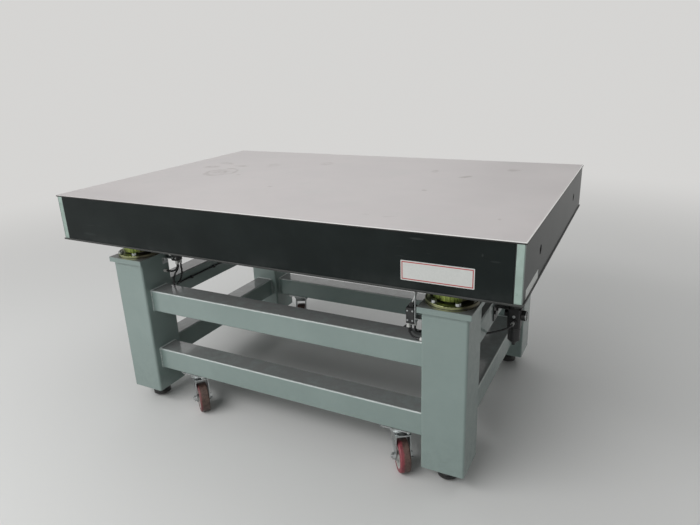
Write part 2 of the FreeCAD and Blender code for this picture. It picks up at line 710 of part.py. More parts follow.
def valve_lever(name):
    """Sensing lever: an eye on the pin and a rod up to a soft tip under the top."""
    pivot = valve_pivot(name)
    side = CORNERS[name][0]
    tip_bottom = V(pivot.x + side * LEVER_REACH, pivot.y, UNDERSIDE - AIR - LEVER_TIP_H)
    way = tip_bottom - pivot
    eye = rod(LEVER_EYE_D, V(pivot.x, pivot.y - LEVER_EYE_W / 2, pivot.z), Y, LEVER_EYE_W)
    arm = rod(LEVER_ROD_D, pivot, way, way.Length + LEVER_TIP_H / 4)
    tip = rod(LEVER_TIP_D, tip_bottom, Z, LEVER_TIP_H)
    upper = [e for e in tip.Edges if e.BoundBox.ZMin > tip_bottom.z + LEVER_TIP_H / 2]
    lever = eye.fuse([arm, tip.makeFillet(LEVER_TIP_ROUND, upper)])
    hole = rod(LEVER_PIN_D + 2 * RUN, V(pivot.x, pivot.y - LEVER_EYE_W, pivot.z), Y, 2 * LEVER_EYE_W)
    return lever.cut(hole)


def valve_bracket(name):
    """Bright angle sheet that holds the valve off the leg's inner face, with its two screws."""
    x, y, bottom = valve_base(name)
    side = CORNERS[name][0]
    near = x + side * VALVE_X / 2
    far = near + side * BRACKET_T
    leg_face = side * LEG_INNER_X
    tab_face = leg_face - side * BRACKET_T
    web_z = min(bottom + BRACKET_WEB_UP, LEG_TOP - AIR - BRACKET_T)
    front = y - BRACKET_W / 2

    def plate(xa, xb, width, z0, z1):
        return box(min(xa, xb), max(xa, xb), front, front + width, z0, z1)

    upright = plate(near, far, BRACKET_W, bottom + BRACKET_IN, bottom + VALVE_H)
    finger_top = min(bottom + BRACKET_RISE, UNDERSIDE - BRACKET_UNDER_TOP)
    finger = plate(near, far, BRACKET_FINGER, bottom + VALVE_H, finger_top)
    web = plate(near, leg_face, BRACKET_W, web_z, web_z + BRACKET_T)
    tab = plate(tab_face, leg_face, BRACKET_W, web_z - BRACKET_TAB, web_z + BRACKET_T)
    screw_z = web_z - BRACKET_TAB / 2
    screws = []
    for screw_y in (y - SCREW_SPACING / 2, y + SCREW_SPACING / 2):
        screws.append(rod(SCREW_HEAD_D, V(tab_face, screw_y, screw_z), V(-side, 0, 0), SCREW_HEAD_H))
    return upright.fuse([finger, web, tab] + screws).removeSplitter()


# ---------------------------------------------------------------- filter regulator

def regulator_bracket():
    """Angle sheet on the beam; its arm holds the regulator under the knob."""
    beam_face = LEG_X + BEAM / 2
    arm_top = REG_TOP + REG_BRACKET_T
    back = box(beam_face, beam_face + REG_BRACKET_T, REG_Y - REG_BRACKET_W / 2, REG_Y + REG_BRACKET_W / 2,
               UPPER_BEAM + REG_BRACKET_UP, arm_top)
    arm = box(beam_face, REG_X + REG_SIDE / 2, REG_Y - REG_SIDE / 2, REG_Y + REG_SIDE / 2, REG_TOP, arm_top)
    arm = arm.cut(rod(REG_NECK_D + 2 * SLIP, V(REG_X, REG_Y, REG_TOP), Z, REG_BRACKET_T))
    screws = []
    for screw_y in (REG_Y - REG_SCREW_SPACING / 2, REG_Y + REG_SCREW_SPACING / 2):
        start = V(beam_face + REG_BRACKET_T, screw_y, UPPER_BEAM + BEAM / 2)
        screws.append(rod(REG_SCREW_D, start, X, REG_SCREW_H))
    return back.fuse([arm] + screws).removeSplitter()


def regulator_outlet():
    """Mouth of the front port."""
    return V(REG_X, REG_Y - REG_SIDE / 2 - PORT_L, REG_BOTTOM + REG_H / 3)


def regulator_body():
    """Block with its neck, two air ports, a blank side boss and the gauge stem; the rear port is open."""
    block = rounded_bar(REG_SIDE, REG_SIDE, REG_H, REG_ROUND, V(REG_X, REG_Y, REG_BOTTOM))
    neck = rod(REG_NECK_D, V(REG_X, REG_Y, REG_TOP), Z, REG_NECK_H)
    front = regulator_outlet()
    rear = front + V(0, REG_SIDE + 2 * PORT_L, 0)
    ports = [rod(PORT_D, rear, -Y, PORT_L + REG_ROUND), rod(PORT_D, front, Y, PORT_L + REG_ROUND)]
    stem = rod(GAUGE_STEM_D, V(REG_X + REG_SIDE / 2, REG_Y, REG_BOTTOM + GAUGE_UP), X, GAUGE_STEM_L)
    boss_end = V(REG_X - REG_SIDE / 2 - SIDE_BOSS_L, REG_Y, REG_BOTTOM + SIDE_BOSS_UP)
    boss = rod(PORT_D, boss_end, X, SIDE_BOSS_L + REG_ROUND)
    body = block.fuse([neck, stem, boss] + ports)
    return body.cut(rod(PORT_BORE_D, rear, -Y, PORT_DEPTH)).removeSplitter()


def regulator_bowl():
    top = REG_BOTTOM
    bowl = rod(BOWL_D, V(REG_X, REG_Y, top), -Z, BOWL_H)
    cone = Part.makeCone(BOWL_D / 2, DRAIN_D / 2, BOWL_CONE, V(REG_X, REG_Y, top - BOWL_H), -Z)
    drain = rod(DRAIN_D, V(REG_X, REG_Y, top - BOWL_H - BOWL_CONE), -Z, DRAIN_H)
    return bowl.fuse([cone, drain])


def regulator_knob():
    """Fluted pressure knob over the neck."""
    bottom = REG_TOP + REG_BRACKET_T + AIR
    knob = rod(KNOB_D, V(REG_X, REG_Y, bottom), Z, KNOB_H)
    rim = [e for e in knob.Edges if e.BoundBox.ZMin > bottom + KNOB_H - 0.1]
    knob = knob.makeFillet(KNOB_ROUND, rim)
    for point in on_circle(KNOB_D + KNOB_GROOVE_D / 2, KNOB_GROOVES, bottom):
        knob = knob.cut(rod(KNOB_GROOVE_D, point + V(REG_X, REG_Y, 0), Z, KNOB_H))
    neck_room = REG_NECK_H - REG_BRACKET_T
    return knob.cut(rod(REG_NECK_D + 2 * RUN, V(REG_X, REG_Y, bottom), Z, neck_room))


def gauge_centre():
    return V(REG_X + REG_SIDE / 2 + GAUGE_STEM_L, REG_Y, REG_BOTTOM + GAUGE_UP)


def gauge_case():
    """Round case with its dial recessed behind the rim and a pin for the needle."""
    back = gauge_centre()
    case = rod(GAUGE_D, back, X, GAUGE_T)
    front = back + V(GAUGE_T, 0, 0)
    case = case.cut(rod(GAUGE_D - 2 * GAUGE_RIM, front, -X, GAUGE_RECESS))
    pin = rod(GAUGE_PIN_D, front - V(GAUGE_RECESS, 0, 0), X, GAUGE_RECESS - GAUGE_PIN_SHORT)
    return case.fuse(pin)


def gauge_needle():
    """Needle at rest, pointing down and to one side as at zero pressure."""
    dial = gauge_centre() + V(GAUGE_T - GAUGE_RECESS + AIR, 0, 0)
    hub_disc = rod(NEEDLE_HUB_D, dial, X, 2 * NEEDLE_T)
    blade = box(0, NEEDLE_T, -NEEDLE_W / 2, NEEDLE_W / 2, -NEEDLE_TAIL, NEEDLE_L)
    blade.rotate(V(0, 0, 0), X, NEEDLE_TURN)
    blade.translate(dial)
    needle = hub_disc.fuse(blade)
    return needle.cut(rod(GAUGE_PIN_D + 2 * RUN, dial - V(NEEDLE_T, 0, 0), X, 4 * NEEDLE_T))


# ---------------------------------------------------------------- air lines

def port_shift():
    """Ports of a valve off its middle, along X and along Y."""
    room = FITTING_COLLAR_D + 2 * PORT_MARGIN
    return (VALVE_X - room) / 2, (VALVE_Y - room) / 2


def leg_port(name):
    """Mouth of the air port in a leg's inner face, level in Y with its valve's isolator port."""
    sx, _ = CORNERS[name]
    middle = frame_corner(name) + VALVES.get(name, VALVES["rl"])
    return V(sx * LEG_INNER_X, middle.y - port_shift()[1], middle.z - LEG_PORT_DROP)


def fitting(start, direction):
    """Push-in fitting: a body that runs out from a face, with a release collar."""
    body = rod(FITTING_D, start, direction, FITTING_L - FITTING_COLLAR_L)
    unit = V(direction).normalize()
    collar = rod(FITTING_COLLAR_D, start + unit * (FITTING_L - FITTING_COLLAR_L), direction, FITTING_COLLAR_L)
    return body.fuse(collar)


def valve_ports(name):
    """Supply, feed-through and isolator ports, under a valve."""
    x, y, bottom = valve_base(name)
    side = CORNERS[name][0]
    across, along = port_shift()
    return {
        "supply": V(x + side * across, y + along, bottom),
        "feed": V(x - side * across, y + along, bottom),
        "isolator": V(x - side * across, y - along, bottom),
    }


def air_fittings():
    fittings = []
    for name in VALVES:
        fittings += [fitting(point, -Z) for point in valve_ports(name).values()]
    fittings += [fitting(leg_port(name), V(-CORNERS[name][0], 0, 0)) for name in CORNERS]
    return fittings + [fitting(regulator_outlet(), -Y)]


def tube(points):
    """Tube along straight runs joined by tangent arcs, each as large as its runs allow."""
    edges = []
    length = 0.0
    tightest = None
    start = points[0]
    for before, corner, after in zip(points, points[1:], points[2:]):
        way_in = (corner - before).normalize()
        way_out = (after - corner).normalize()
        half_turn = way_in.getAngle(way_out) / 2
        cut = 0.45 * min((corner - before).Length, (after - corner).Length)
        radius = cut / math.tan(half_turn)
        tightest = radius if tightest is None else min(tightest, radius)
        arc_start = corner - way_in * cut
        arc_end = corner + way_out * cut
        to_middle = (way_out - way_in).normalize()
        middle = corner + to_middle * (radius / math.cos(half_turn) - radius)
        edges.append(Part.LineSegment(start, arc_start).toShape())
        edges.append(Part.Arc(arc_start, middle, arc_end).toShape())
        length += (arc_start - start).Length + 2 * half_turn * radius
        start = arc_end
    edges.append(Part.LineSegment(start, points[-1]).toShape())
    length += (points[-1] - start).Length
    way = (points[1] - points[0]).normalize()
    profile = Part.Wire(Part.makeCircle(TUBE_D / 2, points[0], way))
    solid = Part.Wire(edges).makePipeShell([profile], True, True)
    share = solid.Volume / (math.pi * TUBE_D ** 2 / 4 * length)
    print("tube length %.0f, tightest radius %.0f, volume share %.4f" % (length, tightest, share))
    return solid


def isolator_tube(name):
    """From a valve's isolator port down and across to the port of its leg, in one plane."""
    start = valve_ports(name)["isolator"] - V(0, 0, FITTING_L)
    port = leg_port(name)
    across = port.x - CORNERS[name][0] * FITTING_L - start.x
    drop = start.z - port.z
    bend = [(0, 0), (0, 0.28), (0.12, 0.61), (0.34, 0.87), (0.65, 1), (1, 1)]
    return tube([start + V(share_x * across, 0, -share_z * drop) for share_x, share_z in bend])


def supply_tube():
    """Regulator outlet, under the right upper beam, to the front right valve."""
    outlet = regulator_outlet() - V(0, FITTING_L, 0)
    under_beam = [outlet + V(*offset) for offset in (
        (0, 0, 0), (0, -11, 0), (-8, -21, -4), (-22, -28.5, -9.5), (-41, -34, -16), (-60, -40, -21.5),
        (-79, -44, -25), (-101, -48, -26), (-121, -51.5, -24.5), (-136, -57, -18.5), (-143.5, -66, -9),
        (-143.5, -80, 2), (-141, -97, 10),
    )]
    return tube(under_beam + near_corner("fr", (
        (18.7, 168.5, -44), (18.7, 143.5, -40), (16, 119.5, -34), (8, 97.5, -24), (-1, 78.5, -12),
        (-7, 59.5, -1), (-11, 39.5, 6.5), (-17, 21.5, 10), (-25, 3.5, 11), (-31.5, -10.5, 15),
        (-35, -18.5, 25), (-35, -18.5, 38),
    )))


def front_tube():
    """Front right valve, along the rear face of the front upper beam, to the front left valve."""
    return tube(near_corner("fr", (
        (-47, -18.5, 38), (-47, -18.5, 26), (-50, -10.5, 15.5), (-57, 4.5, 11), (-66, 19.5, 11),
        (-76, 32.5, 9), (-86, 40.5, 0), (-98, 43, -12.5), (-114, 42, -22), (-136, 41.3, -27),
        (-170, 41.3, -29),
    )) + near_corner("fl", (
        (170, 41.3, -29), (128, 41.3, -28.4), (90, 41.5, -27), (58, 42.5, -24), (38, 44, -17),
        (28, 45.5, -3), (27, 47.5, 15), (34, 49.5, 34), (46, 51, 50), (54, 51.5, 64), (54, 51.5, 80),
    )))


def left_tube():
    """Front left valve, along the inner face of the left upper beam, to the rear valve."""
    return tube(near_corner("fl", (
        (66, 51.5, 80), (66, 51.5, 66), (65, 54, 52), (60, 57, 37), (52, 60, 22), (41, 64, 8), (27, 69, -4),
        (12, 76.5, -15), (0, 88.5, -22), (-10, 104.5, -26), (-16.5, 125.5, -28.4), (-18.7, 151.5, -29),
    )) + near_corner("rl", (
        (-18.7, -135.5, -29), (-16, -107.5, -27), (-10, -87.5, -19), (-1, -73.5, -8), (7, -58.5, 3),
        (13, -40.5, 10), (18, -20.5, 11.5), (23, -0.5, 12), (28.5, 15.5, 15.5),
        (34, 29, 21), (35, 34.5, 29), (35, 34.5, 38),
    )))


def rear_tube():
    """Rear valve, along the front face of the rear upper beam, to the rear right leg."""
    end = leg_port("rr") - V(FITTING_L, 0, 0)
    return tube(near_corner("rl", (
        (47, 34.5, 38), (47, 34.5, 26), (51, 26.5, 16), (61, 14.5, 11), (72, -1.5, 10), (84, -18.5, 10),
        (95, -34, 9), (107, -43.5, -1.5), (120, -44, -15), (138, -41.3, -24), (165, -41.3, -29),
    )) + near_corner("rr", (
        (-165, -41.3, -29), (-138, -41.3, -24), (-120, -44, -15), (-107, -43.5, -1.5), (-95, -34, 9),
        (-84, -17.5, 10.5), (-72, -2.5, 10.5), (-58, 8.5, 9.5), (-45, 15, 8),
    )) + [end - V(2 * TUBE_D, 0, 0), end])


def clip(centre, wall):
    """Saddle that holds a level tube against the beam face that wall points at."""
    along = V(abs(wall.y), abs(wall.x), 0)
    half = TUBE_D / 2 + CLIP_T
    deep = TUBE_D / 2 + CLIP_BACK
    block = box(-CLIP_L / 2, CLIP_L / 2, -half, deep, -half, half)
    block.rotate(V(0, 0, 0), Z, math.degrees(math.atan2(wall.y, wall.x)) - 90)
    block.translate(centre)
    return block.cut(rod(TUBE_D + 2 * SLIP, centre - along * CLIP_L, along, 2 * CLIP_L))


def spread(first, last, count):
    return [first + (last - first) * i / (count - 1) for i in range(count)]


def tube_clips():
    """Saddles along the inner faces of the front, rear and left upper beams."""
    off = TUBE_D / 2 + CLIP_BACK
    level = UPPER_BEAM + BEAM - TUBE_BELOW_TOP
    clips = []
    for x in spread(CLIP_IN - LEG_INNER_X, LEG_INNER_X - CLIP_IN, CLIPS):
        clips.append(clip(V(x, off - BEAM_INNER_Y, level), -Y))
        clips.append(clip(V(x, BEAM_INNER_Y - off, level), Y))
    for y in spread(CLIP_IN_SIDE - LEG_INNER_Y, LEG_INNER_Y - CLIP_IN_SIDE, CLIPS):
        clips.append(clip(V(off - BEAM_INNER_X, y, level), -X))
    return clips


def air_tubes():
    tubes = [isolator_tube(name) for name in VALVES]
    return tubes + [supply_tube(), front_tube(), left_tube(), rear_tube()] + tube_clips()


# ---------------------------------------------------------------- files

def save_top():
    save("top_skin", skin(CORE_TOP))
    save("bottom_skin", skin(UNDERSIDE))
    save("honeycomb_core", honeycomb_core())
    save("front_panel", long_panel(-1))
    save("rear_panel", long_panel(1))
    save("left_panel", end_panel(-1))
    save("right_panel", end_panel(1))
    save("corner_posts", corner_posts())
    save("name_plates", name_plates())
    save("lifting_plugs", lifting_plugs())


def save_frame():
    for name in CORNERS:
        save("leg_" + name, leg(name))
    save("upper_long_beams", long_beams(UPPER_BEAM))
    save("upper_cross_beams", cross_beams(UPPER_BEAM))
    save("lower_long_beams", drilled_long_beams())
    save("lower_cross_beams", cross_beams(LOWER_BEAM))


def save_isolators():
    save("isolator_chambers", at_legs(chamber()))
    save("isolator_diaphragms", at_legs(diaphragm()))
    save("isolator_flanges", at_legs(flange()))
    save("isolator_bolts", isolator_bolts())
    save("isolator_pistons", at_legs(piston()))
    save("load_collars", at_legs(load_collar()))


def save_running_gear():
    save("caster_plates", at_casters(caster_plate()))
    bolts = [moved(solid, p.x, p.y) for p in caster_bolt_points() for solid in caster_bolt()]
    save("caster_bolts", [copy for bolt in bolts for copy in at_casters(bolt)])
    for name in CASTERS:
        save("fork_" + name, steered([fork()], name))
        save("axle_" + name, steered(axle(), name))
        save("hub_" + name, steered([hub()], name))
        save("tyre_" + name, steered([tyre()], name))
    for name, (sx, sy) in CORNERS.items():
        save("foot_" + name, [moved(solid, sx * LEG_X, sy * LEG_Y) for solid in foot()])
    save("foot_lock_nuts", at_legs(lock_nut()))


def save_air_system():
    save("valve_bodies", [valve_body(name) for name in VALVES])
    save("valve_brackets", [valve_bracket(name) for name in VALVES])
    for name in VALVES:
        save("valve_lever_" + name, valve_lever(name))
    save("regulator_bracket", regulator_bracket())
    save("regulator_body", regulator_body())
    save("regulator_bowl", regulator_bowl())
    save("regulator_knob", regulator_knob())
    save("gauge_case", gauge_case())
    save("gauge_needle", gauge_needle())
    save("air_fittings", air_fittings())
    save("air_tubes", air_tubes())


os.makedirs("parts", exist_ok=True)
save_top()
save_frame()
save_isolators()
save_running_gear()
save_air_system()
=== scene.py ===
"""Looks of the weighing balance table: camera, light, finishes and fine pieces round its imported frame."""
import math
import random

import bmesh
import bpy
from mathutils import Matrix, Vector


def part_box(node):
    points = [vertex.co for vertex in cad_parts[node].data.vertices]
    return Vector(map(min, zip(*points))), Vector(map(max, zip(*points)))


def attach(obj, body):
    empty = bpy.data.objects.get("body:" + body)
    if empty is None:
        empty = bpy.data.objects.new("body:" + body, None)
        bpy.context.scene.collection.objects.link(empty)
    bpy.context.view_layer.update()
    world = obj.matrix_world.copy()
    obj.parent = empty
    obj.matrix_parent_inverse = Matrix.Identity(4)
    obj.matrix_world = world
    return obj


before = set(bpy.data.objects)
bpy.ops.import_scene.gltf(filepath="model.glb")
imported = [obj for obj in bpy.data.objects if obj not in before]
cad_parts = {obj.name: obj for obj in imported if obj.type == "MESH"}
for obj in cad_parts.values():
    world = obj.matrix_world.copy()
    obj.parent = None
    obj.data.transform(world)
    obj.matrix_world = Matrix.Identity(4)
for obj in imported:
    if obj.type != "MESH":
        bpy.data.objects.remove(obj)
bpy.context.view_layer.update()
scene = bpy.context.scene

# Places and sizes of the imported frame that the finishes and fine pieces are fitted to, in metres.
CORNERS = {"fl": (-1, -1), "fr": (1, -1), "rl": (-1, 1), "rr": (1, 1)}

HALF_LENGTH = 0.750
HALF_WIDTH = 0.500
TOP = 0.760
LOWER_SHEET = 0.615         # upper edge of the lower sheet of the top
FRONT = -0.497              # face of the front panel
POST_INNER = 0.7255         # inner edge of the corner posts
POST_LAP = 0.003            # black laminate over that edge
END_BARE = 0.0035           # bare metal at each end of the end panels' covers
PLATE_X = 0.5495            # middle of the maker's plate
PLATE_Z = 0.661
PLATE_HALF_LENGTH = 0.0900
PLATE_HALF_HEIGHT = 0.0250
PLATE_FACE = -0.498
LABEL_X = 0.745             # the label on the right end lies beyond this

LEG_X = 0.55
LEG_Y = 0.3715
LEG = 0.125
LEG_ROUND = 0.007
LEG_TOP = 0.529
BEAM = 0.075
BEAM_ROUND = 0.005
BEAM_HEIGHTS = (0.1755, 0.3925)
FLANGE_TOP = 0.558

TREAD_RADIUS = 0.050
PAD_TOP = 0.0375            # where a levelling foot's pad ends and its stem begins
HEADINGS = {"fl": -40.0, "fr": -54.0, "rl": -62.0, "rr": -35.0}     # of the casters, in degrees

REG_X = 0.6485
REG_Y = -0.050
REG_FRONT = REG_Y - 0.020
BOWL_JOINT = (0.3425, 0.3508)
KNOB_TOP = 0.4443
REG_PLUG = 0.3895           # height of the plug in the regulator's front
DIAL = Vector((0.678, REG_Y, 0.390))
DIAL_RADIUS = 0.0144
DIAL_SWEEP = 270            # degrees from the first tick to the last
TICK_END = 0.0136           # radius at which the ticks end
LONG_TICK = (0.0112, 0.00042)       # radius at which a tick starts, and its width
SHORT_TICK = (0.0124, 0.00022)
FIGURE_RADIUS = 0.0090
FIGURE_SIZE = 0.0034

# Height valves: x, y and lower end, by the lever that each carries
VALVES = {"fr": (0.449, -0.398, 0.480), "fl": (-0.430, -0.328, 0.522), "rl": (-0.449, 0.398, 0.480)}
VALVE_HALF = 0.014          # half the depth of a valve's body
PIVOT_UP = 0.050            # lever's pivot above the valve's lower end
LEVER_REACH = 0.026         # lever's tip away from the pivot, towards the nearer end of the table
LEVER_TIP = 0.6017

# Sizes of the fine pieces.
WELD = 0.0045               # reach of a weld bead from the corner that it fills
WELD_RIPPLE = 0.0042
WELD_STEP = 0.0013
WELD_SIDES = 7
SCREW_RADIUS = 0.0026
SCREW_HEIGHT = 0.0018
SINK = 0.0004               # how far a fine piece reaches into what carries it
SHARP = math.radians(38)    # edges steeper than this stay sharp

# Colours of the surroundings: the floor as it lights the object, the floor and the room as they are seen.
FLOOR_TINT = (0.53, 0.535, 0.53)
FLOOR_SEEN = (0.70, 0.70, 0.69)
ROOM_TINT = (0.668, 0.662, 0.650)
SKY_TINT = (0.97, 1.0, 1.0)
SKY_STRENGTH = 0.18
FLOOR_RADIUS = 24.0
FADE = (1.0, 4.6)           # distances from the middle over which the floor melts into the room

# The photograph's viewpoint, solved from the corners of the top and the legs.
CAMERA_PLACE = (0.9608, -1.7019, 1.1334)
CAMERA_RIGHT = Vector((0.88905, 0.45642, -0.03611))
CAMERA_UP = Vector((-0.11916, 0.30680, 0.94429))
CAMERA_LENS = 29.716        # mm, on a sensor 36 mm wide

# Lamps: name, place, aim, size and power
LAMPS = [
    ("key", (-1.7, -3.4, 2.3), (0.0, 0.0, 0.35), (5.6, 3.4), 88.0),
    ("strip", (-1.2, -2.9, 3.0), (0.0, 0.0, 0.4), (4.0, 0.3), 52.0),
    ("overhead", (0.3, 0.4, 3.3), (0.1, 0.2, 0.6), (3.2, 4.6), 43.0),
    ("rear", (-2.4, 3.6, 2.8), (0.0, 0.0, 0.4), (4.0, 3.0), 24.0),
]


# Camera, light and floor ------------------------------------------------------------------

def make_camera():
    """A camera at the photograph's viewpoint."""
    camera = bpy.data.objects.new("camera", bpy.data.cameras.new("camera"))
    camera.data.sensor_width = 36.0
    camera.data.lens = CAMERA_LENS
    camera.data.clip_end = 60.0
    axes = (CAMERA_RIGHT, CAMERA_UP, CAMERA_RIGHT.cross(CAMERA_UP))
    camera.matrix_world = Matrix.Translation(CAMERA_PLACE) @ Matrix(axes).transposed().to_4x4()
    scene.collection.objects.link(camera)
    scene.camera = camera


def area_lamp(name, place, aim, size, power):
    """A white rectangular lamp that points at aim."""
    lamp = bpy.data.objects.new(name, bpy.data.lights.new(name, "AREA"))
    lamp.data.shape = "RECTANGLE"
    lamp.data.size, lamp.data.size_y = size
    lamp.data.energy = power
    lamp.location = place
    lamp.rotation_euler = (Vector(aim) - Vector(place)).to_track_quat("-Z", "Y").to_euler()
    scene.collection.objects.link(lamp)


def make_world():
    """Even light of moderate strength; the camera and reflections see a pale room."""
    world = bpy.data.worlds.new("room")
    world.use_nodes = True
    scene.world = world
    tree = world.node_tree
    light = tree.nodes["Background"]
    light.inputs["Color"].default_value = (*SKY_TINT, 1)
    light.inputs["Strength"].default_value = SKY_STRENGTH
    seen = tree.nodes.new("ShaderNodeBackground")
    seen.inputs["Color"].default_value = (*ROOM_TINT, 1)
    path = tree.nodes.new("ShaderNodeLightPath")
    mix = tree.nodes.new("ShaderNodeMixShader")
    looked_at = path.outputs["Is Camera Ray"]
    for ray in ("Is Glossy Ray", "Is Transmission Ray"):
        either = tree.nodes.new("ShaderNodeMath")
        either.operation = "MAXIMUM"
        tree.links.new(looked_at, either.inputs[0])
        tree.links.new(path.outputs[ray], either.inputs[1])
        looked_at = either.outputs[0]
    tree.links.new(looked_at, mix.inputs["Fac"])
    tree.links.new(light.outputs[0], mix.inputs[1])
    tree.links.new(seen.outputs[0], mix.inputs[2])
    tree.links.new(mix.outputs[0], tree.nodes["World Output"].inputs["Surface"])


def make_floor():
    """A plain pale floor that melts into the room far away and is seen paler than it lights the object."""
    mesh = bpy.data.meshes.new("floor")
    shape = bmesh.new()
    bmesh.ops.create_circle(shape, cap_ends=True, segments=96, radius=FLOOR_RADIUS)
    shape.to_mesh(mesh)
    shape.free()
    floor = bpy.data.objects.new("floor", mesh)
    scene.collection.objects.link(floor)
    finish = Finish("floor", FLOOR_TINT, 0.75)
    cloud = finish.noise(1.3, detail=3)
    path = finish.add("ShaderNodeLightPath")
    seen = finish.maths("MAXIMUM", path.outputs["Is Camera Ray"], path.outputs["Is Glossy Ray"])
    tint = finish.mix(seen, FLOOR_TINT, FLOOR_SEEN)
    finish.colour(finish.mix(finish.band(cloud, 0.3, 0.7, (0.0, 0.03)), tint, (0.60, 0.60, 0.59)))
    far = finish.measure(finish.coords, (0, 0, 0), (1, 1, 1))
    fade = finish.band(far, *FADE)
    glow = finish.add("ShaderNodeEmission")
    glow.inputs["Color"].default_value = (*ROOM_TINT, 1)
    blend = finish.add("ShaderNodeMixShader")
    finish.link(finish.maths("MULTIPLY", fade, seen), blend.inputs["Fac"])
    finish.link(finish.shader.outputs[0], blend.inputs[1])
    finish.link(glow.outputs[0], blend.inputs[2])
    finish.link(blend.outputs[0], finish.tree.nodes["Material Output"].inputs["Surface"])
    floor.data.materials.append(finish.material)


# Finishes ---------------------------------------------------------------------------------

class Finish:
    """A node material that varies by the place on the object, in metres."""

    def __init__(self, name, base, roughness, metallic=0.0, **inputs):
        self.material = bpy.data.materials.new(name)
        self.material.use_nodes = True
        self.tree = self.material.node_tree
        self.shader = self.tree.nodes["Principled BSDF"]
        self.shader.inputs["Base Color"].default_value = (*base, 1)
        self.shader.inputs["Roughness"].default_value = roughness
        self.shader.inputs["Metallic"].default_value = metallic
        for socket, value in inputs.items():
            self.shader.inputs[socket.replace("_", " ")].default_value = value
        self.coords = self.add("ShaderNodeTexCoord").outputs["Object"]
        self.relief = None

    def add(self, kind, **settings):
        node = self.tree.nodes.new(kind)
        for key, value in settings.items():
            setattr(node, key, value)
        return node

    def link(self, output, socket):
        self.tree.links.new(output, socket)

    def give(self, value, socket):
        """A number, a colour or another node's output into a socket."""
        if isinstance(value, bpy.types.NodeSocket):
            self.link(value, socket)
        elif isinstance(value, (int, float)):
            socket.default_value = value
        else:
            socket.default_value = (*value, 1) if len(socket.default_value) == 4 else value

    def mapped(self, scale, place=(0, 0, 0), turn=0.0, vector=None):
        """Coordinates from a place, turned about the vertical in degrees, in units of scale."""
        node = self.add("ShaderNodeMapping", vector_type="TEXTURE")
        self.link(vector or self.coords, node.inputs["Vector"])
        node.inputs["Location"].default_value = place
        node.inputs["Rotation"].default_value = (0, 0, math.radians(turn))
        node.inputs["Scale"].default_value = scale
        return node.outputs[0]

    def noise(self, scale, detail=4.0, rough=0.5, warp=0.0, vector=None, out="Fac"):
        node = self.add("ShaderNodeTexNoise")
        self.link(vector or self.coords, node.inputs["Vector"])
        node.inputs["Scale"].default_value = scale
        node.inputs["Detail"].default_value = detail
        node.inputs["Roughness"].default_value = rough
        node.inputs["Distortion"].default_value = warp
        return node.outputs[out]

    def cells(self, scale, feature="F1"):
        node = self.add("ShaderNodeTexVoronoi", feature=feature)
        self.link(self.coords, node.inputs["Vector"])
        node.inputs["Scale"].default_value = scale
        return node.outputs["Distance"]

    def band(self, value, low, high, to=(0.0, 1.0)):
        """value's range low..high spread smoothly over the range to."""
        node = self.add("ShaderNodeMapRange", interpolation_type="SMOOTHSTEP")
        self.link(value, node.inputs["Value"])
        for socket, number in zip(("From Min", "From Max", "To Min", "To Max"), (low, high, *to)):
            node.inputs[socket].default_value = number
        return node.outputs[0]

    def mix(self, factor, first, second):
        node = self.add("ShaderNodeMix", data_type="RGBA")
        self.give(factor, node.inputs[0])
        self.give(first, node.inputs[6])
        self.give(second, node.inputs[7])
        return node.outputs[2]

    def maths(self, operation, first, second=0.0):
        node = self.add("ShaderNodeMath", operation=operation)
        self.give(first, node.inputs[0])
        self.give(second, node.inputs[1])
        return node.outputs[0]

    def vector(self, operation, first, second, out=0):
        node = self.add("ShaderNodeVectorMath", operation=operation)
        self.give(first, node.inputs[0])
        self.give(second, node.inputs[1])
        return node.outputs[out]

    def axes(self, vector=None):
        """x, y and z of the place on the object, or of a vector."""
        node = self.add("ShaderNodeSeparateXYZ")
        self.link(vector or self.coords, node.inputs[0])
        return node.outputs

    def lean(self):
        """How far a face looks up: 1 on a level top, 0 on an upright side, -1 below."""
        return self.axes(self.add("ShaderNodeNewGeometry").outputs["True Normal"])[2]

    def measure(self, vector, place, scale, turn=0.0):
        """Distance from a place, as a share of the radii in scale."""
        spot = self.mapped(scale, place, turn, vector)
        return self.vector("LENGTH", spot, (0, 0, 0), "Value")

    def colour(self, output):
        self.link(output, self.shader.inputs["Base Color"])

    def rough(self, output):
        self.link(output, self.shader.inputs["Roughness"])

    def bump(self, height, strength, distance=0.001):
        """Each call adds a layer of relief on top of the one before."""
        node = self.add("ShaderNodeBump")
        node.inputs["Strength"].default_value = strength
        node.inputs["Distance"].default_value = distance
        self.link(height, node.inputs["Height"])
        if self.relief is not None:
            self.link(self.relief, node.inputs["Normal"])
        self.relief = node.outputs[0]
        self.link(self.relief, self.shader.inputs["Normal"])


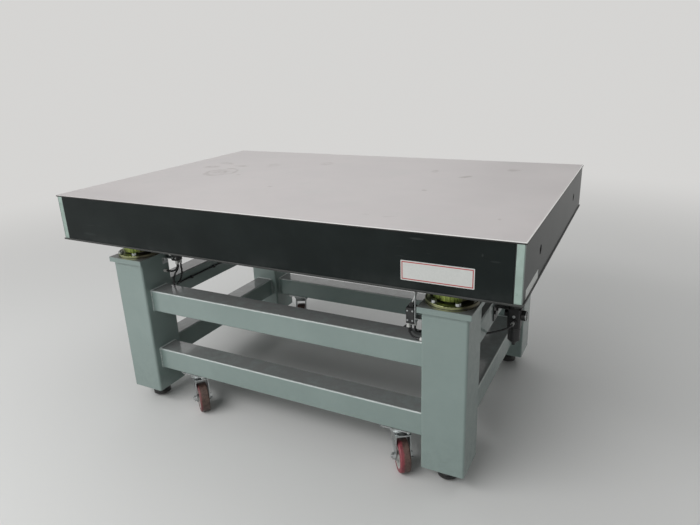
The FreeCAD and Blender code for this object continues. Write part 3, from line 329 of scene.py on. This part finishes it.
# Marks on the upper sheet: x, y, half length, half width, turn in degrees, darkness, and 1 for a ring or
# 0 for a spot
STAINS = [
    (-0.489, -0.013, 0.045, 0.067, 28, 0.50, 1), (-0.462, 0.025, 0.037, 0.062, 31, 0.45, 1),
    (-0.478, 0.004, 0.060, 0.058, 28, 0.30, 0), (-0.590, 0.088, 0.040, 0.035, 24, 0.55, 0),
    (-0.583, 0.174, 0.060, 0.022, -15, 0.38, 0), (-0.481, 0.139, 0.044, 0.020, 0, 0.50, 0),
    (-0.365, 0.190, 0.034, 0.050, 32, 0.32, 0), (-0.134, -0.170, 0.016, 0.011, 0, 0.45, 0),
    (-0.170, 0.275, 0.042, 0.049, 23, 0.35, 0), (-0.374, -0.023, 0.014, 0.014, 37, 0.35, 0),
    (0.290, 0.238, 0.019, 0.036, 16, 0.60, 0), (0.422, 0.164, 0.036, 0.018, 63, 0.60, 0),
    (0.545, 0.328, 0.030, 0.041, -4, 0.50, 0), (0.363, -0.070, 0.011, 0.015, 18, 0.50, 0),
    (0.322, -0.395, 0.014, 0.008, 19, 0.50, 0), (0.384, -0.395, 0.023, 0.008, 24, 0.50, 0),
    (0.654, -0.333, 0.008, 0.010, 19, 0.40, 0),
]

# Rubbed places on the front panel: x, z, half length, half height and strength
RUBS = [
    (0.500, 0.742, 0.024, 0.0035, 0.30), (0.684, 0.708, 0.016, 0.0030, 0.16),
    (0.655, 0.720, 0.003, 0.0050, 0.30), (-0.620, 0.640, 0.040, 0.006, 0.12),
]

# Dark and light tone of a tread, and how far its dirty band is shifted along the axle.
CLEAN_TREAD = ((0.190, 0.036, 0.046), (0.290, 0.060, 0.075), 0.0)
DULL_TREAD = ((0.125, 0.040, 0.040), (0.190, 0.056, 0.058), -0.0060)


def steel_skin():
    """Matt steel sheet: cloudy patches, dried rings, short scratches, a painted highlight along the rim and
    a dark side.
    """
    finish = Finish("steel_skin", (0.5, 0.48, 0.465), 0.55, 0.20, Specular_IOR_Level=0.35)
    cloud = finish.noise(2.6, detail=5, rough=0.6)
    tint = finish.mix(finish.band(cloud, 0.30, 0.70), (0.458, 0.433, 0.433), (0.512, 0.485, 0.483))
    patch = finish.noise(9.0, detail=3)
    tint = finish.mix(finish.band(patch, 0.52, 0.78, (0.0, 0.30)), tint, (0.440, 0.443, 0.433))
    shaken = finish.vector("SUBTRACT", finish.noise(16.0, detail=4, out="Color"), (0.5, 0.5, 0.5))
    shaken = finish.vector("MULTIPLY", shaken, (0.035, 0.035, 0.0))
    shaken = finish.vector("ADD", finish.coords, shaken)
    marks = None
    for x, y, length, width, turn, dark, ring in STAINS:
        away = finish.measure(shaken, (x, y, TOP), (length, width, 0.02), turn)
        if ring:
            line = finish.maths("ABSOLUTE", finish.maths("SUBTRACT", away, 0.85))
            mark = finish.band(line, 0.05, 0.26, (dark, 0.0))
        else:
            mark = finish.band(away, 0.25, 1.0, (dark, 0.0))
        marks = mark if marks is None else finish.maths("MAXIMUM", marks, mark)
    broken = finish.band(finish.noise(30.0, detail=3), 0.36, 0.62, (0.35, 1.0))
    marks = finish.maths("MULTIPLY", marks, broken)
    tint = finish.mix(marks, tint, (0.30, 0.275, 0.262))
    x, y, z = finish.axes()
    # Painted highlight: a pale band round the edges of the upper face, fading towards -X, stands in for the
    # light that the rim catches.
    ends, sides = [finish.band(finish.maths("ABSOLUTE", place), half - 0.0038, half - 0.0018)
                   for place, half in ((x, HALF_LENGTH), (y, HALF_WIDTH))]
    rim_painted_highlight = finish.maths("MULTIPLY", finish.maths("MAXIMUM", ends, sides),
                       finish.band(x, -0.62, 0.10, (0.15, 1.0)))
    tint = finish.mix(rim_painted_highlight, tint, (0.72, 0.715, 0.70))
    side = finish.band(z, TOP - 0.0011, TOP - 0.0018)
    finish.colour(finish.mix(side, tint, (0.022, 0.022, 0.021)))
    lines = finish.noise(1.0, detail=2, vector=finish.mapped((0.06, 0.0011, 0.05), turn=24))
    cross = finish.noise(1.0, detail=2, vector=finish.mapped((0.0009, 0.05, 0.05), turn=-13))
    scratch = finish.maths("MAXIMUM", finish.band(lines, 0.70, 0.78), finish.band(cross, 0.71, 0.79))
    rough = finish.band(cloud, 0.30, 0.75, (0.50, 0.62))
    rough = finish.maths("ADD", rough, finish.maths("MULTIPLY", marks, 0.18))
    finish.rough(finish.maths("SUBTRACT", rough, finish.maths("MULTIPLY", scratch, 0.10)))
    finish.bump(finish.noise(1400.0, detail=2), 0.06, 0.0004)
    finish.bump(scratch, 0.10, 0.0003)
    return finish.material


def dark_skin():
    """Dull dark coating on the lower sheet, paler along its upper edge: dust with a painted highlight."""
    finish = Finish("dark_skin", (0.04, 0.042, 0.04), 0.55, 0.0, Specular_IOR_Level=0.3)
    cloud = finish.noise(12.0, detail=5, rough=0.6)
    tint = finish.mix(finish.band(cloud, 0.30, 0.70), (0.028, 0.030, 0.029), (0.048, 0.050, 0.048))
    # Dust and painted highlight: the upper edge of the sheet is tinted paler, partly dust, partly standing
    # in for the light that the ledge catches.
    edge = finish.band(finish.axes()[2], LOWER_SHEET - 0.0025, LOWER_SHEET - 0.0005)
    lip_dust_and_highlight = finish.maths("MULTIPLY", edge, finish.band(cloud, 0.25, 0.55, (0.5, 1.0)))
    finish.colour(finish.mix(lip_dust_and_highlight, tint, (0.060, 0.062, 0.060)))
    finish.rough(finish.band(cloud, 0.30, 0.72, (0.48, 0.64)))
    finish.bump(finish.noise(700.0, detail=2), 0.08, 0.0003)
    return finish.material


def black_panel(name, gloss, scuffed, end_bare):
    """Dark laminate: a leathery grain, hand marks and pale scuffs; bare metal at the end covers' ends."""
    finish = Finish(name, (0.005, 0.009, 0.009), 0.38, Specular_IOR_Level=gloss)
    cloud = finish.noise(5.0, detail=5, rough=0.65)
    tint = finish.mix(finish.band(cloud, 0.35, 0.70), (0.0035, 0.0068, 0.0066), (0.0070, 0.0115, 0.0110))
    strokes = finish.noise(1.0, detail=4, rough=0.7, vector=finish.mapped((0.11, 0.11, 0.012)))
    few = finish.band(finish.noise(3.1, detail=2), 0.53, 0.66)
    scuffs = finish.maths("MULTIPLY", finish.band(strokes, 0.63, 0.74), few)
    tint = finish.mix(finish.maths("MULTIPLY", scuffs, scuffed), tint, (0.055, 0.060, 0.060))
    low_down = finish.band(finish.axes()[2], LOWER_SHEET + 0.040, LOWER_SHEET)
    dust = finish.maths("MULTIPLY", low_down, finish.band(cloud, 0.40, 0.75))
    tint = finish.mix(finish.maths("MULTIPLY", dust, 0.14), tint, (0.10, 0.10, 0.098))
    for x, z, length, width, pale in RUBS:
        away = finish.measure(finish.coords, (x, FRONT, z), (length, 0.01, width))
        rub = finish.band(away, 1.0, 0.35, (0.0, pale))
        rub = finish.maths("MULTIPLY", rub, finish.band(strokes, 0.30, 0.60))
        tint = finish.mix(rub, tint, (0.075, 0.085, 0.082))
    if end_bare:
        across = finish.maths("ABSOLUTE", finish.axes()[1])
        bare = finish.band(across, -FRONT - END_BARE - 0.0005, -FRONT - END_BARE + 0.0005)
        tint = finish.mix(bare, tint, (0.20, 0.245, 0.225))
    finish.colour(tint)
    even = finish.band(cloud, 0.30, 0.75, (0.38 - 0.14 * scuffed, 0.38 + 0.10 * scuffed))
    finish.rough(finish.maths("ADD", even, finish.maths("MULTIPLY", scuffs, 0.4 * scuffed)))
    finish.bump(finish.cells(900.0, "SMOOTH_F1"), 0.10, 0.0003)
    finish.bump(finish.noise(22.0, detail=2), 0.08 * scuffed, 0.002)
    return finish.material


def metal(name, low, high, rough, grain=500.0, bump=0.06, marks=0.0):
    """Plated or bare metal with cloudy tone, uneven gloss, fine grain and dull spots."""
    finish = Finish(name, high, rough[0], 1.0)
    cloud = finish.noise(38.0, detail=4, rough=0.6, warp=0.3)
    spots = finish.band(finish.noise(160.0, detail=3), 0.60, 0.72)
    tint = finish.mix(finish.band(cloud, 0.32, 0.70), low, high)
    if marks:
        tint = finish.mix(finish.maths("MULTIPLY", spots, marks), tint, [c * 0.35 for c in low])
    finish.colour(tint)
    gloss = finish.band(cloud, 0.30, 0.72, rough)
    finish.rough(finish.maths("ADD", gloss, finish.maths("MULTIPLY", spots, 0.18)))
    finish.bump(finish.noise(grain, detail=3), bump, 0.0004)
    return finish


def plastic(name, low, high, rough, grain=650.0, bump=0.08):
    """Moulded plastic or rubber: a slightly uneven tone, a fine grain and handled patches."""
    finish = Finish(name, high, rough[0])
    cloud = finish.noise(45.0, detail=4, rough=0.6)
    finish.colour(finish.mix(finish.band(cloud, 0.32, 0.70), low, high))
    finish.rough(finish.band(finish.noise(70.0, detail=3), 0.30, 0.72, rough))
    finish.bump(finish.noise(grain, detail=2), bump, 0.0003)
    return finish


def frame_paint():
    """Grey enamel: orange peel, dust and painted shade on top faces, painted highlights on rounded upper
    edges, grime low down, rare chips.
    """
    finish = Finish("frame_paint", (0.222, 0.286, 0.268), 0.42, Coat_Weight=0.70, Coat_Roughness=0.12)
    cloud = finish.noise(4.5, detail=5, rough=0.62)
    tint = finish.mix(finish.band(cloud, 0.30, 0.72), (0.210, 0.274, 0.256), (0.234, 0.301, 0.283))
    fine = finish.noise(48.0, detail=4, rough=0.7)
    tint = finish.mix(finish.band(fine, 0.60, 0.80, (0.0, 0.35)), tint, (0.262, 0.312, 0.300))
    low_down = finish.band(finish.axes()[2], 0.22, 0.06)
    grime = finish.maths("MULTIPLY", low_down, finish.band(fine, 0.42, 0.66))
    tint = finish.mix(finish.maths("MULTIPLY", grime, 0.10), tint, (0.085, 0.090, 0.082))
    lean = finish.lean()
    # Dust and painted shade: faces that look up turn a darker, neutral grey. This is partly dust and partly
    # the shade under the top and the dark underside that these faces reflect.
    dust_shade_patches = finish.band(finish.noise(26.0, detail=5, rough=0.7), 0.22, 0.62, (0.62, 1.0))
    top_dust_and_shade = finish.maths("MULTIPLY", finish.band(lean, 0.55, 0.92), dust_shade_patches)
    tint = finish.mix(top_dust_and_shade, tint, (0.165, 0.170, 0.168))
    # Painted highlight: faces that lean between upright and level, the rounded upper edges of tubes and
    # beads, are tinted pale as if catching the lamps.
    painted_edge_highlight = finish.maths("MULTIPLY", finish.band(lean, 0.12, 0.40), finish.band(lean, 0.97, 0.86))
    painted_edge_highlight = finish.maths("MULTIPLY", painted_edge_highlight, finish.band(fine, 0.30, 0.60, (0.62, 0.92)))
    tint = finish.mix(painted_edge_highlight, tint, (0.47, 0.52, 0.505))
    chips = finish.band(finish.cells(34.0), 0.055, 0.035)
    rare = finish.band(finish.noise(7.0, detail=2), 0.63, 0.67)
    chips = finish.maths("MULTIPLY", chips, rare)
    tint = finish.mix(chips, tint, (0.055, 0.045, 0.040))
    finish.colour(tint)
    rough = finish.band(fine, 0.30, 0.75, (0.36, 0.50))
    finish.rough(finish.maths("ADD", rough, finish.maths("MULTIPLY", top_dust_and_shade, 0.35)))
    finish.bump(finish.noise(260.0, detail=2), 0.16, 0.0006)
    finish.bump(finish.noise(14.0, detail=2), 0.06, 0.004)
    return finish.material


def yellow_zinc():
    """Yellow chromate: straw and rosy on the clamp flange, green-gold on the ribs, and a painted shade (a
    dark brown reflection) towards +X.
    """
    finish = metal("yellow_zinc", (0.22, 0.24, 0.10), (0.34, 0.36, 0.19), (0.26, 0.42), 420.0, 0.06)
    tone = finish.noise(15.0, detail=4, rough=0.6, warp=0.8)
    low = finish.mix(finish.band(tone, 0.30, 0.56), (0.20, 0.22, 0.095), (0.31, 0.33, 0.18))
    low = finish.mix(finish.band(tone, 0.57, 0.72, (0.0, 0.7)), low, (0.34, 0.25, 0.17))
    high = finish.mix(finish.band(tone, 0.32, 0.62), (0.155, 0.205, 0.052), (0.27, 0.325, 0.095))
    x, y, z = finish.axes()
    ribs = finish.band(z, FLANGE_TOP + 0.002, FLANGE_TOP + 0.005)
    tint = finish.mix(ribs, low, high)
    # How far a place lies from its isolator's axis, towards +X and a little towards +Y.
    sides = []
    for place, spacing, share in ((x, LEG_X, 0.89), (y, LEG_Y, 0.46)):
        axis = finish.maths("MULTIPLY", finish.maths("SIGN", place), spacing)
        sides.append(finish.maths("MULTIPLY", finish.maths("SUBTRACT", place, axis), share))
    painted_shade_reach = finish.maths("ADD", sides[0], sides[1])
    painted_shade_edge = finish.maths("ADD", painted_shade_reach, finish.maths("MULTIPLY", finish.noise(60.0, detail=2), 0.010))
    # Painted shade: towards +X the flange and collar darken to brown, standing in for the shadow and the
    # dark underside that they reflect.
    finish.colour(finish.mix(finish.band(painted_shade_edge, 0.008, 0.026, (0.0, 0.85)), tint, (0.062, 0.050, 0.038)))
    return finish.material


def tread(corner):
    """Red-brown polyurethane: scuffed side faces, and a dark dirty band where it rolls."""
    finish = Finish("tread_" + corner, (0.30, 0.046, 0.070), 0.5)
    least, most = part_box("tyre_" + corner)
    centre = (least + most) / 2
    heading = math.radians(HEADINGS[corner])
    axle = Vector((-math.sin(heading), math.cos(heading), 0.0))
    offset = finish.vector("SUBTRACT", finish.coords, centre)
    along = finish.vector("DOT_PRODUCT", offset, axle, "Value")
    radius = finish.vector("LENGTH", finish.vector("CROSS_PRODUCT", offset, axle), (0, 0, 0), "Value")
    fine = finish.noise(85.0, detail=4, rough=0.7)
    low, high, shift = CLEAN_TREAD if corner == "fr" else DULL_TREAD
    tint = finish.mix(finish.band(fine, 0.32, 0.70), low, high)
    edge = finish.maths("ADD", along, finish.maths("MULTIPLY", finish.noise(55.0, detail=4), 0.008))
    worn = finish.maths("MULTIPLY", finish.band(edge, shift - 0.0033, shift + 0.0032, (0.0, 0.92)),
                        finish.band(radius, TREAD_RADIUS - 0.0065, TREAD_RADIUS - 0.0030))
    dirt = finish.mix(finish.band(fine, 0.35, 0.65), (0.052, 0.034, 0.028), (0.115, 0.080, 0.062))
    finish.colour(finish.mix(worn, tint, dirt))
    finish.rough(finish.band(fine, 0.3, 0.7, (0.42, 0.62)))
    finish.bump(fine, 0.18, 0.0006)
    return finish.material


def corner_post():
    """Satin metal; the laminate of the front and rear panels laps 3 mm over its inner edge."""
    finish = metal("post", (0.365, 0.465, 0.425), (0.40, 0.505, 0.465), (0.36, 0.48), 700.0, 0.05, 0.10)
    tint = finish.shader.inputs["Base Color"].links[0].from_socket
    inward = finish.maths("ABSOLUTE", finish.axes()[0])
    lap = finish.band(inward, POST_INNER + POST_LAP + 0.0002, POST_INNER + POST_LAP - 0.0002)
    finish.colour(finish.mix(lap, tint, (0.006, 0.009, 0.009)))
    finish.link(finish.maths("SUBTRACT", 1.0, lap), finish.shader.inputs["Metallic"])
    return finish.material


def levelling_foot():
    """Black pad below, zinc-plated stem above."""
    finish = Finish("levelling_foot", (0.02, 0.02, 0.02), 0.5)
    stem = finish.band(finish.axes()[2], PAD_TOP - 0.0003, PAD_TOP + 0.0003)
    fine = finish.noise(120.0, detail=3)
    pad = finish.mix(finish.band(fine, 0.35, 0.68), (0.012, 0.012, 0.012), (0.030, 0.029, 0.028))
    plated = finish.mix(finish.band(fine, 0.35, 0.68), (0.42, 0.43, 0.44), (0.58, 0.59, 0.60))
    finish.colour(finish.mix(stem, pad, plated))
    finish.link(stem, finish.shader.inputs["Metallic"])
    finish.rough(finish.band(fine, 0.3, 0.7, (0.34, 0.52)))
    finish.bump(fine, 0.10, 0.0004)
    return finish.material


def name_plate():
    """Blank white plate with a fine red line inside its edge; the label on the right end has none."""
    finish = Finish("bare_plate", (0.60, 0.61, 0.59), 0.35)
    x, y, z = finish.axes()
    past = []
    for place, middle, half in ((x, PLATE_X, PLATE_HALF_LENGTH), (z, PLATE_Z, PLATE_HALF_HEIGHT)):
        away = finish.maths("ABSOLUTE", finish.maths("SUBTRACT", place, middle))
        past.append(finish.maths("SUBTRACT", away, half))
    edge = finish.maths("MAXIMUM", *past)
    line = finish.maths("MULTIPLY", finish.band(edge, -0.0052, -0.0046),
                        finish.band(edge, -0.0022, -0.0028))
    line = finish.maths("MULTIPLY", line, finish.band(y, PLATE_FACE + 0.0011, PLATE_FACE + 0.0005))
    fine = finish.noise(260.0, detail=4)
    tint = finish.mix(finish.band(fine, 0.35, 0.70), (0.600, 0.612, 0.592), (0.630, 0.640, 0.620))
    tint = finish.mix(finish.band(x, LABEL_X - 0.005, LABEL_X), tint, (0.84, 0.86, 0.83))
    finish.colour(finish.mix(line, tint, (0.42, 0.035, 0.040)))
    finish.rough(finish.band(fine, 0.3, 0.7, (0.28, 0.42)))
    finish.bump(fine, 0.04, 0.0003)
    return finish.material


def dress_nodes():
    """Gives every CAD node its finish, and returns those that the fine pieces share."""
    zinc = metal("zinc", (0.34, 0.36, 0.36), (0.54, 0.56, 0.56), (0.24, 0.42), 600.0, 0.06, 0.25).material
    paint = frame_paint()
    skin = steel_skin()
    under = dark_skin()
    panel = black_panel("black_panel", 0.18, 0.5, False)
    cover = black_panel("end_cover", 0.32, 0.08, True)
    yellow = yellow_zinc()
    post = corner_post()
    core = metal("core", (0.50, 0.50, 0.50), (0.60, 0.60, 0.60), (0.35, 0.50)).material
    piston = metal("piston", (0.10, 0.10, 0.10), (0.16, 0.16, 0.16), (0.35, 0.50)).material
    lever = metal("lever", (0.50, 0.50, 0.50), (0.66, 0.66, 0.66), (0.24, 0.40)).material
    rubber = plastic("diaphragm", (0.012, 0.012, 0.012), (0.024, 0.023, 0.023), (0.55, 0.75)).material
    plug = plastic("plug", (0.004, 0.004, 0.004), (0.008, 0.008, 0.008), (0.70, 0.85))
    plug.shader.inputs["Specular IOR Level"].default_value = 0.08
    hub = plastic("hub", (0.42, 0.42, 0.40), (0.58, 0.58, 0.56), (0.38, 0.55)).material
    valve = plastic("valve_black", (0.010, 0.011, 0.011), (0.020, 0.021, 0.021), (0.34, 0.50)).material
    black = plastic("regulator_black", (0.010, 0.010, 0.011), (0.020, 0.020, 0.021), (0.30, 0.46)).material
    gauge = plastic("gauge", (0.014, 0.014, 0.014), (0.024, 0.024, 0.024), (0.28, 0.40)).material
    fitting = plastic("fitting", (0.52, 0.52, 0.50), (0.68, 0.68, 0.66), (0.28, 0.42)).material
    tube = plastic("air_tube", (0.010, 0.010, 0.011), (0.019, 0.019, 0.020), (0.24, 0.38), 300.0, 0.05)
    white = plastic("white", (0.66, 0.66, 0.64), (0.74, 0.74, 0.72), (0.40, 0.55)).material
    needle = plastic("needle", (0.30, 0.020, 0.016), (0.40, 0.030, 0.022), (0.35, 0.50)).material
    finishes = {
        "top_skin": skin, "bottom_skin": under, "honeycomb_core": core, "corner_posts": post,
        "front_panel": panel, "rear_panel": panel, "left_panel": cover, "right_panel": cover,
        "name_plates": name_plate(), "lifting_plugs": plug.material, "isolator_chambers": yellow,
        "isolator_flanges": yellow, "load_collars": yellow, "isolator_diaphragms": rubber,
        "isolator_bolts": zinc, "isolator_pistons": piston, "caster_plates": zinc, "caster_bolts": zinc,
        "foot_lock_nuts": zinc, "valve_brackets": zinc, "valve_bodies": valve, "regulator_bracket": black,
        "regulator_body": black, "regulator_bowl": black, "regulator_knob": black,
        "gauge_case": gauge, "gauge_needle": needle, "air_fittings": fitting, "air_tubes": tube.material,
    }
    foot = levelling_foot()
    for corner in CORNERS:
        finishes.update({
            "leg_" + corner: paint, "fork_" + corner: zinc, "axle_" + corner: zinc, "hub_" + corner: hub,
            "tyre_" + corner: tread(corner), "foot_" + corner: foot, "valve_lever_" + corner: lever,
        })
    for name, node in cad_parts.items():
        finish = finishes.get(name, paint)
        for place in node.material_slots:
            place.material = finish
    return {"paint": paint, "zinc": zinc, "black": black, "white": white}


# Pieces -----------------------------------------------------------------------------------

def new_piece(name, shape, material, body):
    """Turns a bmesh into an object that rides on a body."""
    bmesh.ops.recalc_face_normals(shape, faces=shape.faces)
    mesh = bpy.data.meshes.new(name)
    shape.to_mesh(mesh)
    shape.free()
    mesh.polygons.foreach_set("use_smooth", [True] * len(mesh.polygons))
    mesh.set_sharp_from_angle(angle=SHARP)
    mesh.materials.append(material)
    piece = bpy.data.objects.new(name, mesh)
    scene.collection.objects.link(piece)
    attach(piece, body)


def rounded_square(side, corner, step):
    """Points and outward directions along a square with rounded corners, evenly spaced."""
    half = side / 2 - corner
    outline = []
    for quarter in range(4):
        turn = quarter * math.pi / 2
        middle = (half * (math.cos(turn) - math.sin(turn)), half * (math.sin(turn) + math.cos(turn)))
        for part in range(5):
            angle = turn + part * math.pi / 8
            away = (math.cos(angle), math.sin(angle))
            outline.append(((middle[0] + corner * away[0], middle[1] + corner * away[1]), away))
    spaced = []
    for (start, away_start), (end, away_end) in zip(outline, outline[1:] + outline[:1]):
        length = math.dist(start, end)
        count = max(1, round(length / step))
        for part in range(count):
            share = part / count
            point = [a + (b - a) * share for a, b in zip(start, end)]
            away = Vector([a + (b - a) * share for a, b in zip(away_start, away_end)]).normalized()
            spaced.append((point, tuple(away)))
    return spaced


def bead(shape, side, corner, frame_at, chance):
    """A rippled weld bead round a square tube where it meets a flat face.

    frame_at turns (u, v, w) into a place: u and v across the tube, w along it, off the face. A ring's points
    go from -35 to 125 degrees round the corner between the two."""
    rings = []
    run = 0.0
    points = rounded_square(side, corner, WELD_STEP)
    for index, (point, away) in enumerate(points):
        if index:
            run += math.dist(point, points[index - 1][0])
        swell = 0.82 + 0.18 * abs(math.sin(math.pi * run / WELD_RIPPLE)) + chance.uniform(-0.03, 0.03)
        radius = WELD * swell * 0.95
        ring = []
        for part in range(WELD_SIDES):
            angle = math.radians(-35 + 160 * part / (WELD_SIDES - 1))
            out = radius * math.cos(angle) - WELD * 0.15
            up = radius * math.sin(angle) - WELD * 0.05
            ring.append(shape.verts.new(frame_at(point[0] + away[0] * out, point[1] + away[1] * out, up)))
        rings.append(ring)
    for first, second in zip(rings, rings[1:] + rings[:1]):
        for a in range(WELD_SIDES):
            b = (a + 1) % WELD_SIDES
            shape.faces.new((first[a], first[b], second[b], second[a]))


def weld_beads(paint):
    """Beads where the beams meet the legs and where the legs meet their top plates."""
    chance = random.Random(7)
    shape = bmesh.new()
    for sx, sy in CORNERS.values():
        for z in BEAM_HEIGHTS:
            end_x = sx * (LEG_X - LEG / 2)
            bead(shape, BEAM, BEAM_ROUND,
                 lambda u, v, w: (end_x - sx * w, sy * LEG_Y + u, z + v), chance)
            end_y = sy * (LEG_Y - LEG / 2)
            bead(shape, BEAM, BEAM_ROUND,
                 lambda u, v, w: (sx * LEG_X + u, end_y - sy * w, z + v), chance)
        bead(shape, LEG, LEG_ROUND,
             lambda u, v, w: (sx * LEG_X + u, sy * LEG_Y + v, LEG_TOP - w), chance)
    new_piece("weld_beads", shape, paint, "frame")


def spun(shape, profile, place, axis, steps=36):
    """A form turned round an axis from pairs of distance along it and radius; radius 0 closes an end."""
    turn = Vector((0, 0, 1)).rotation_difference(Vector(axis)).to_matrix()
    rings = []
    for along, radius in profile:
        count = steps if radius else 1
        angles = [2 * math.pi * part / count for part in range(count)]
        spots = [Vector((radius * math.cos(a), radius * math.sin(a), along)) for a in angles]
        rings.append([shape.verts.new(Vector(place) + turn @ spot) for spot in spots])
    for first, second in zip(rings, rings[1:]):
        for part in range(steps):
            after = (part + 1) % steps
            corners = (first[part % len(first)], first[after % len(first)],
                       second[after % len(second)], second[part % len(second)])
            shape.faces.new(list(dict.fromkeys(corners)))


def tube_ring(shape, inner, outer, low, high, edge, place, axis):
    """A ring of rectangular section with its outer edges bevelled."""
    profile = [(low, inner), (low, outer - edge), (low + edge, outer), (high - edge, outer),
               (high, outer - edge), (high, inner)]
    spun(shape, profile, place, axis, 48)
    bmesh.ops.bridge_loops(shape, edges=[e for e in shape.edges if e.is_boundary])


def screw_head(shape, place, axis):
    """A pan head with a round recess."""
    shares = [(0.45, 1), (0.85, 0.86), (1, 0.62), (1, 0.36), (0.45, 0.30), (0.45, 0)]
    profile = [(SCREW_HEIGHT * along, SCREW_RADIUS * out) for along, out in shares]
    spun(shape, [(-SINK, 0), (-SINK, SCREW_RADIUS)] + profile, place, axis, 24)


def dial_place(angle, radius, lift):
    """A place on the gauge's dial, with the angle from straight up, clockwise as it is read."""
    return DIAL + Vector((lift, radius * math.sin(angle), radius * math.cos(angle)))


def gauge_pieces(looks):
    """White dial with ticks and figures, and a bright ring round the open edge of the case."""
    dial = bmesh.new()
    back, face = 0.00003, 0.00018
    spun(dial, [(back, 0), (back, DIAL_RADIUS), (face, DIAL_RADIUS), (face, 0)], DIAL, (1, 0, 0), 48)
    new_piece("gauge_dial", dial, looks["white"], "frame")
    marks = bmesh.new()
    for step in range(51):
        angle = math.radians(DIAL_SWEEP * (step / 50 - 0.5))
        start, width = SHORT_TICK if step % 5 else LONG_TICK
        place = Matrix.Translation(dial_place(angle, (start + TICK_END) / 2, 0.0002))
        place = place @ Matrix.Rotation(-angle, 4, "X")
        size = Matrix.Diagonal((0.00006, width, TICK_END - start, 1))
        bmesh.ops.create_cube(marks, size=1.0, matrix=place @ size)
    # Figures 0 to 10: each is made flat, turned into a mesh and laid on the dial, which looks along +X.
    for step in range(6):
        angle = math.radians(DIAL_SWEEP * (step / 5 - 0.5))
        text = bpy.data.curves.new("figure", "FONT")
        text.body = str(2 * step)
        text.size = FIGURE_SIZE
        text.extrude = 0.00003
        text.align_x = "CENTER"
        text.align_y = "CENTER"
        holder = bpy.data.objects.new("figure", text)
        mesh = bpy.data.meshes.new_from_object(holder)
        spot = dial_place(angle, FIGURE_RADIUS, 0.00022)
        mesh.transform(Matrix(((0, 0, 1, spot.x), (1, 0, 0, spot.y), (0, 1, 0, spot.z), (0, 0, 0, 1))))
        marks.from_mesh(mesh)
        bpy.data.objects.remove(holder)
        bpy.data.curves.remove(text)
        bpy.data.meshes.remove(mesh)
    new_piece("gauge_marks", marks, looks["black"], "frame")
    bezel = bmesh.new()
    tube_ring(bezel, 0.0143, 0.0167, 0.0026, 0.0056, 0.0006, DIAL, (1, 0, 0))
    new_piece("gauge_bezel", bezel, looks["zinc"], "frame")


def regulator_pieces(looks):
    """A collar over the joint of the bowl, a cap on the knob and a plug in the front face."""
    collar = bmesh.new()
    tube_ring(collar, 0.0186, 0.0204, *BOWL_JOINT, 0.0008, (REG_X, REG_Y, 0), (0, 0, 1))
    new_piece("bowl_collar", collar, looks["black"], "frame")
    cap = bmesh.new()
    profile = [(-SINK, 0), (-SINK, 0.0135), (0.0006, 0.0135), (0.0010, 0.0130), (0.0010, 0)]
    spun(cap, profile, (REG_X, REG_Y, KNOB_TOP), (0, 0, 1))
    new_piece("knob_cap", cap, looks["black"], "knob")
    plug = bmesh.new()
    profile = [(-SINK, 0), (-SINK, 0.0050), (0.0010, 0.0050), (0.0016, 0.0044), (0.0016, 0.0025),
               (0.0004, 0.0024), (0.0004, 0)]
    spun(plug, profile, (REG_X, REG_FRONT, REG_PLUG), (0, -1, 0), 24)
    new_piece("regulator_plug", plug, looks["zinc"], "frame")


def valve_pieces(looks):
    """Cover screws in each height valve, and a lock nut on each lever."""
    screws = bmesh.new()
    profile = [(0, 0), (0, 0.0042), (0.0004, 0.0046), (0.0030, 0.0046), (0.0034, 0.0042), (0.0034, 0)]
    for name, (x, y, bottom) in VALVES.items():
        out = 1 if y > 0 else -1
        side = 1 if x > 0 else -1
        for dz in (0.009, 0.036):
            for dx in (-0.0070, 0.0070):
                screw_head(screws, (x + dx, y + out * VALVE_HALF, bottom + dz), (0, out, 0))
        pivot = Vector((x, y, bottom + PIVOT_UP))
        tip = Vector((x + side * LEVER_REACH, y, LEVER_TIP))
        way = (tip - pivot).normalized()
        nut = bmesh.new()
        spun(nut, profile, tip - way * 0.010, way, 6)
        new_piece("lever_nut_" + name, nut, looks["zinc"], "lever_" + name)
    new_piece("valve_screws", screws, looks["zinc"], "frame")


def main():
    make_camera()
    make_world()
    for lamp in LAMPS:
        area_lamp(*lamp)
    make_floor()
    looks = dress_nodes()
    weld_beads(looks["paint"])
    gauge_pieces(looks)
    regulator_pieces(looks)
    valve_pieces(looks)


main()
scene.view_settings.view_transform = "Standard"
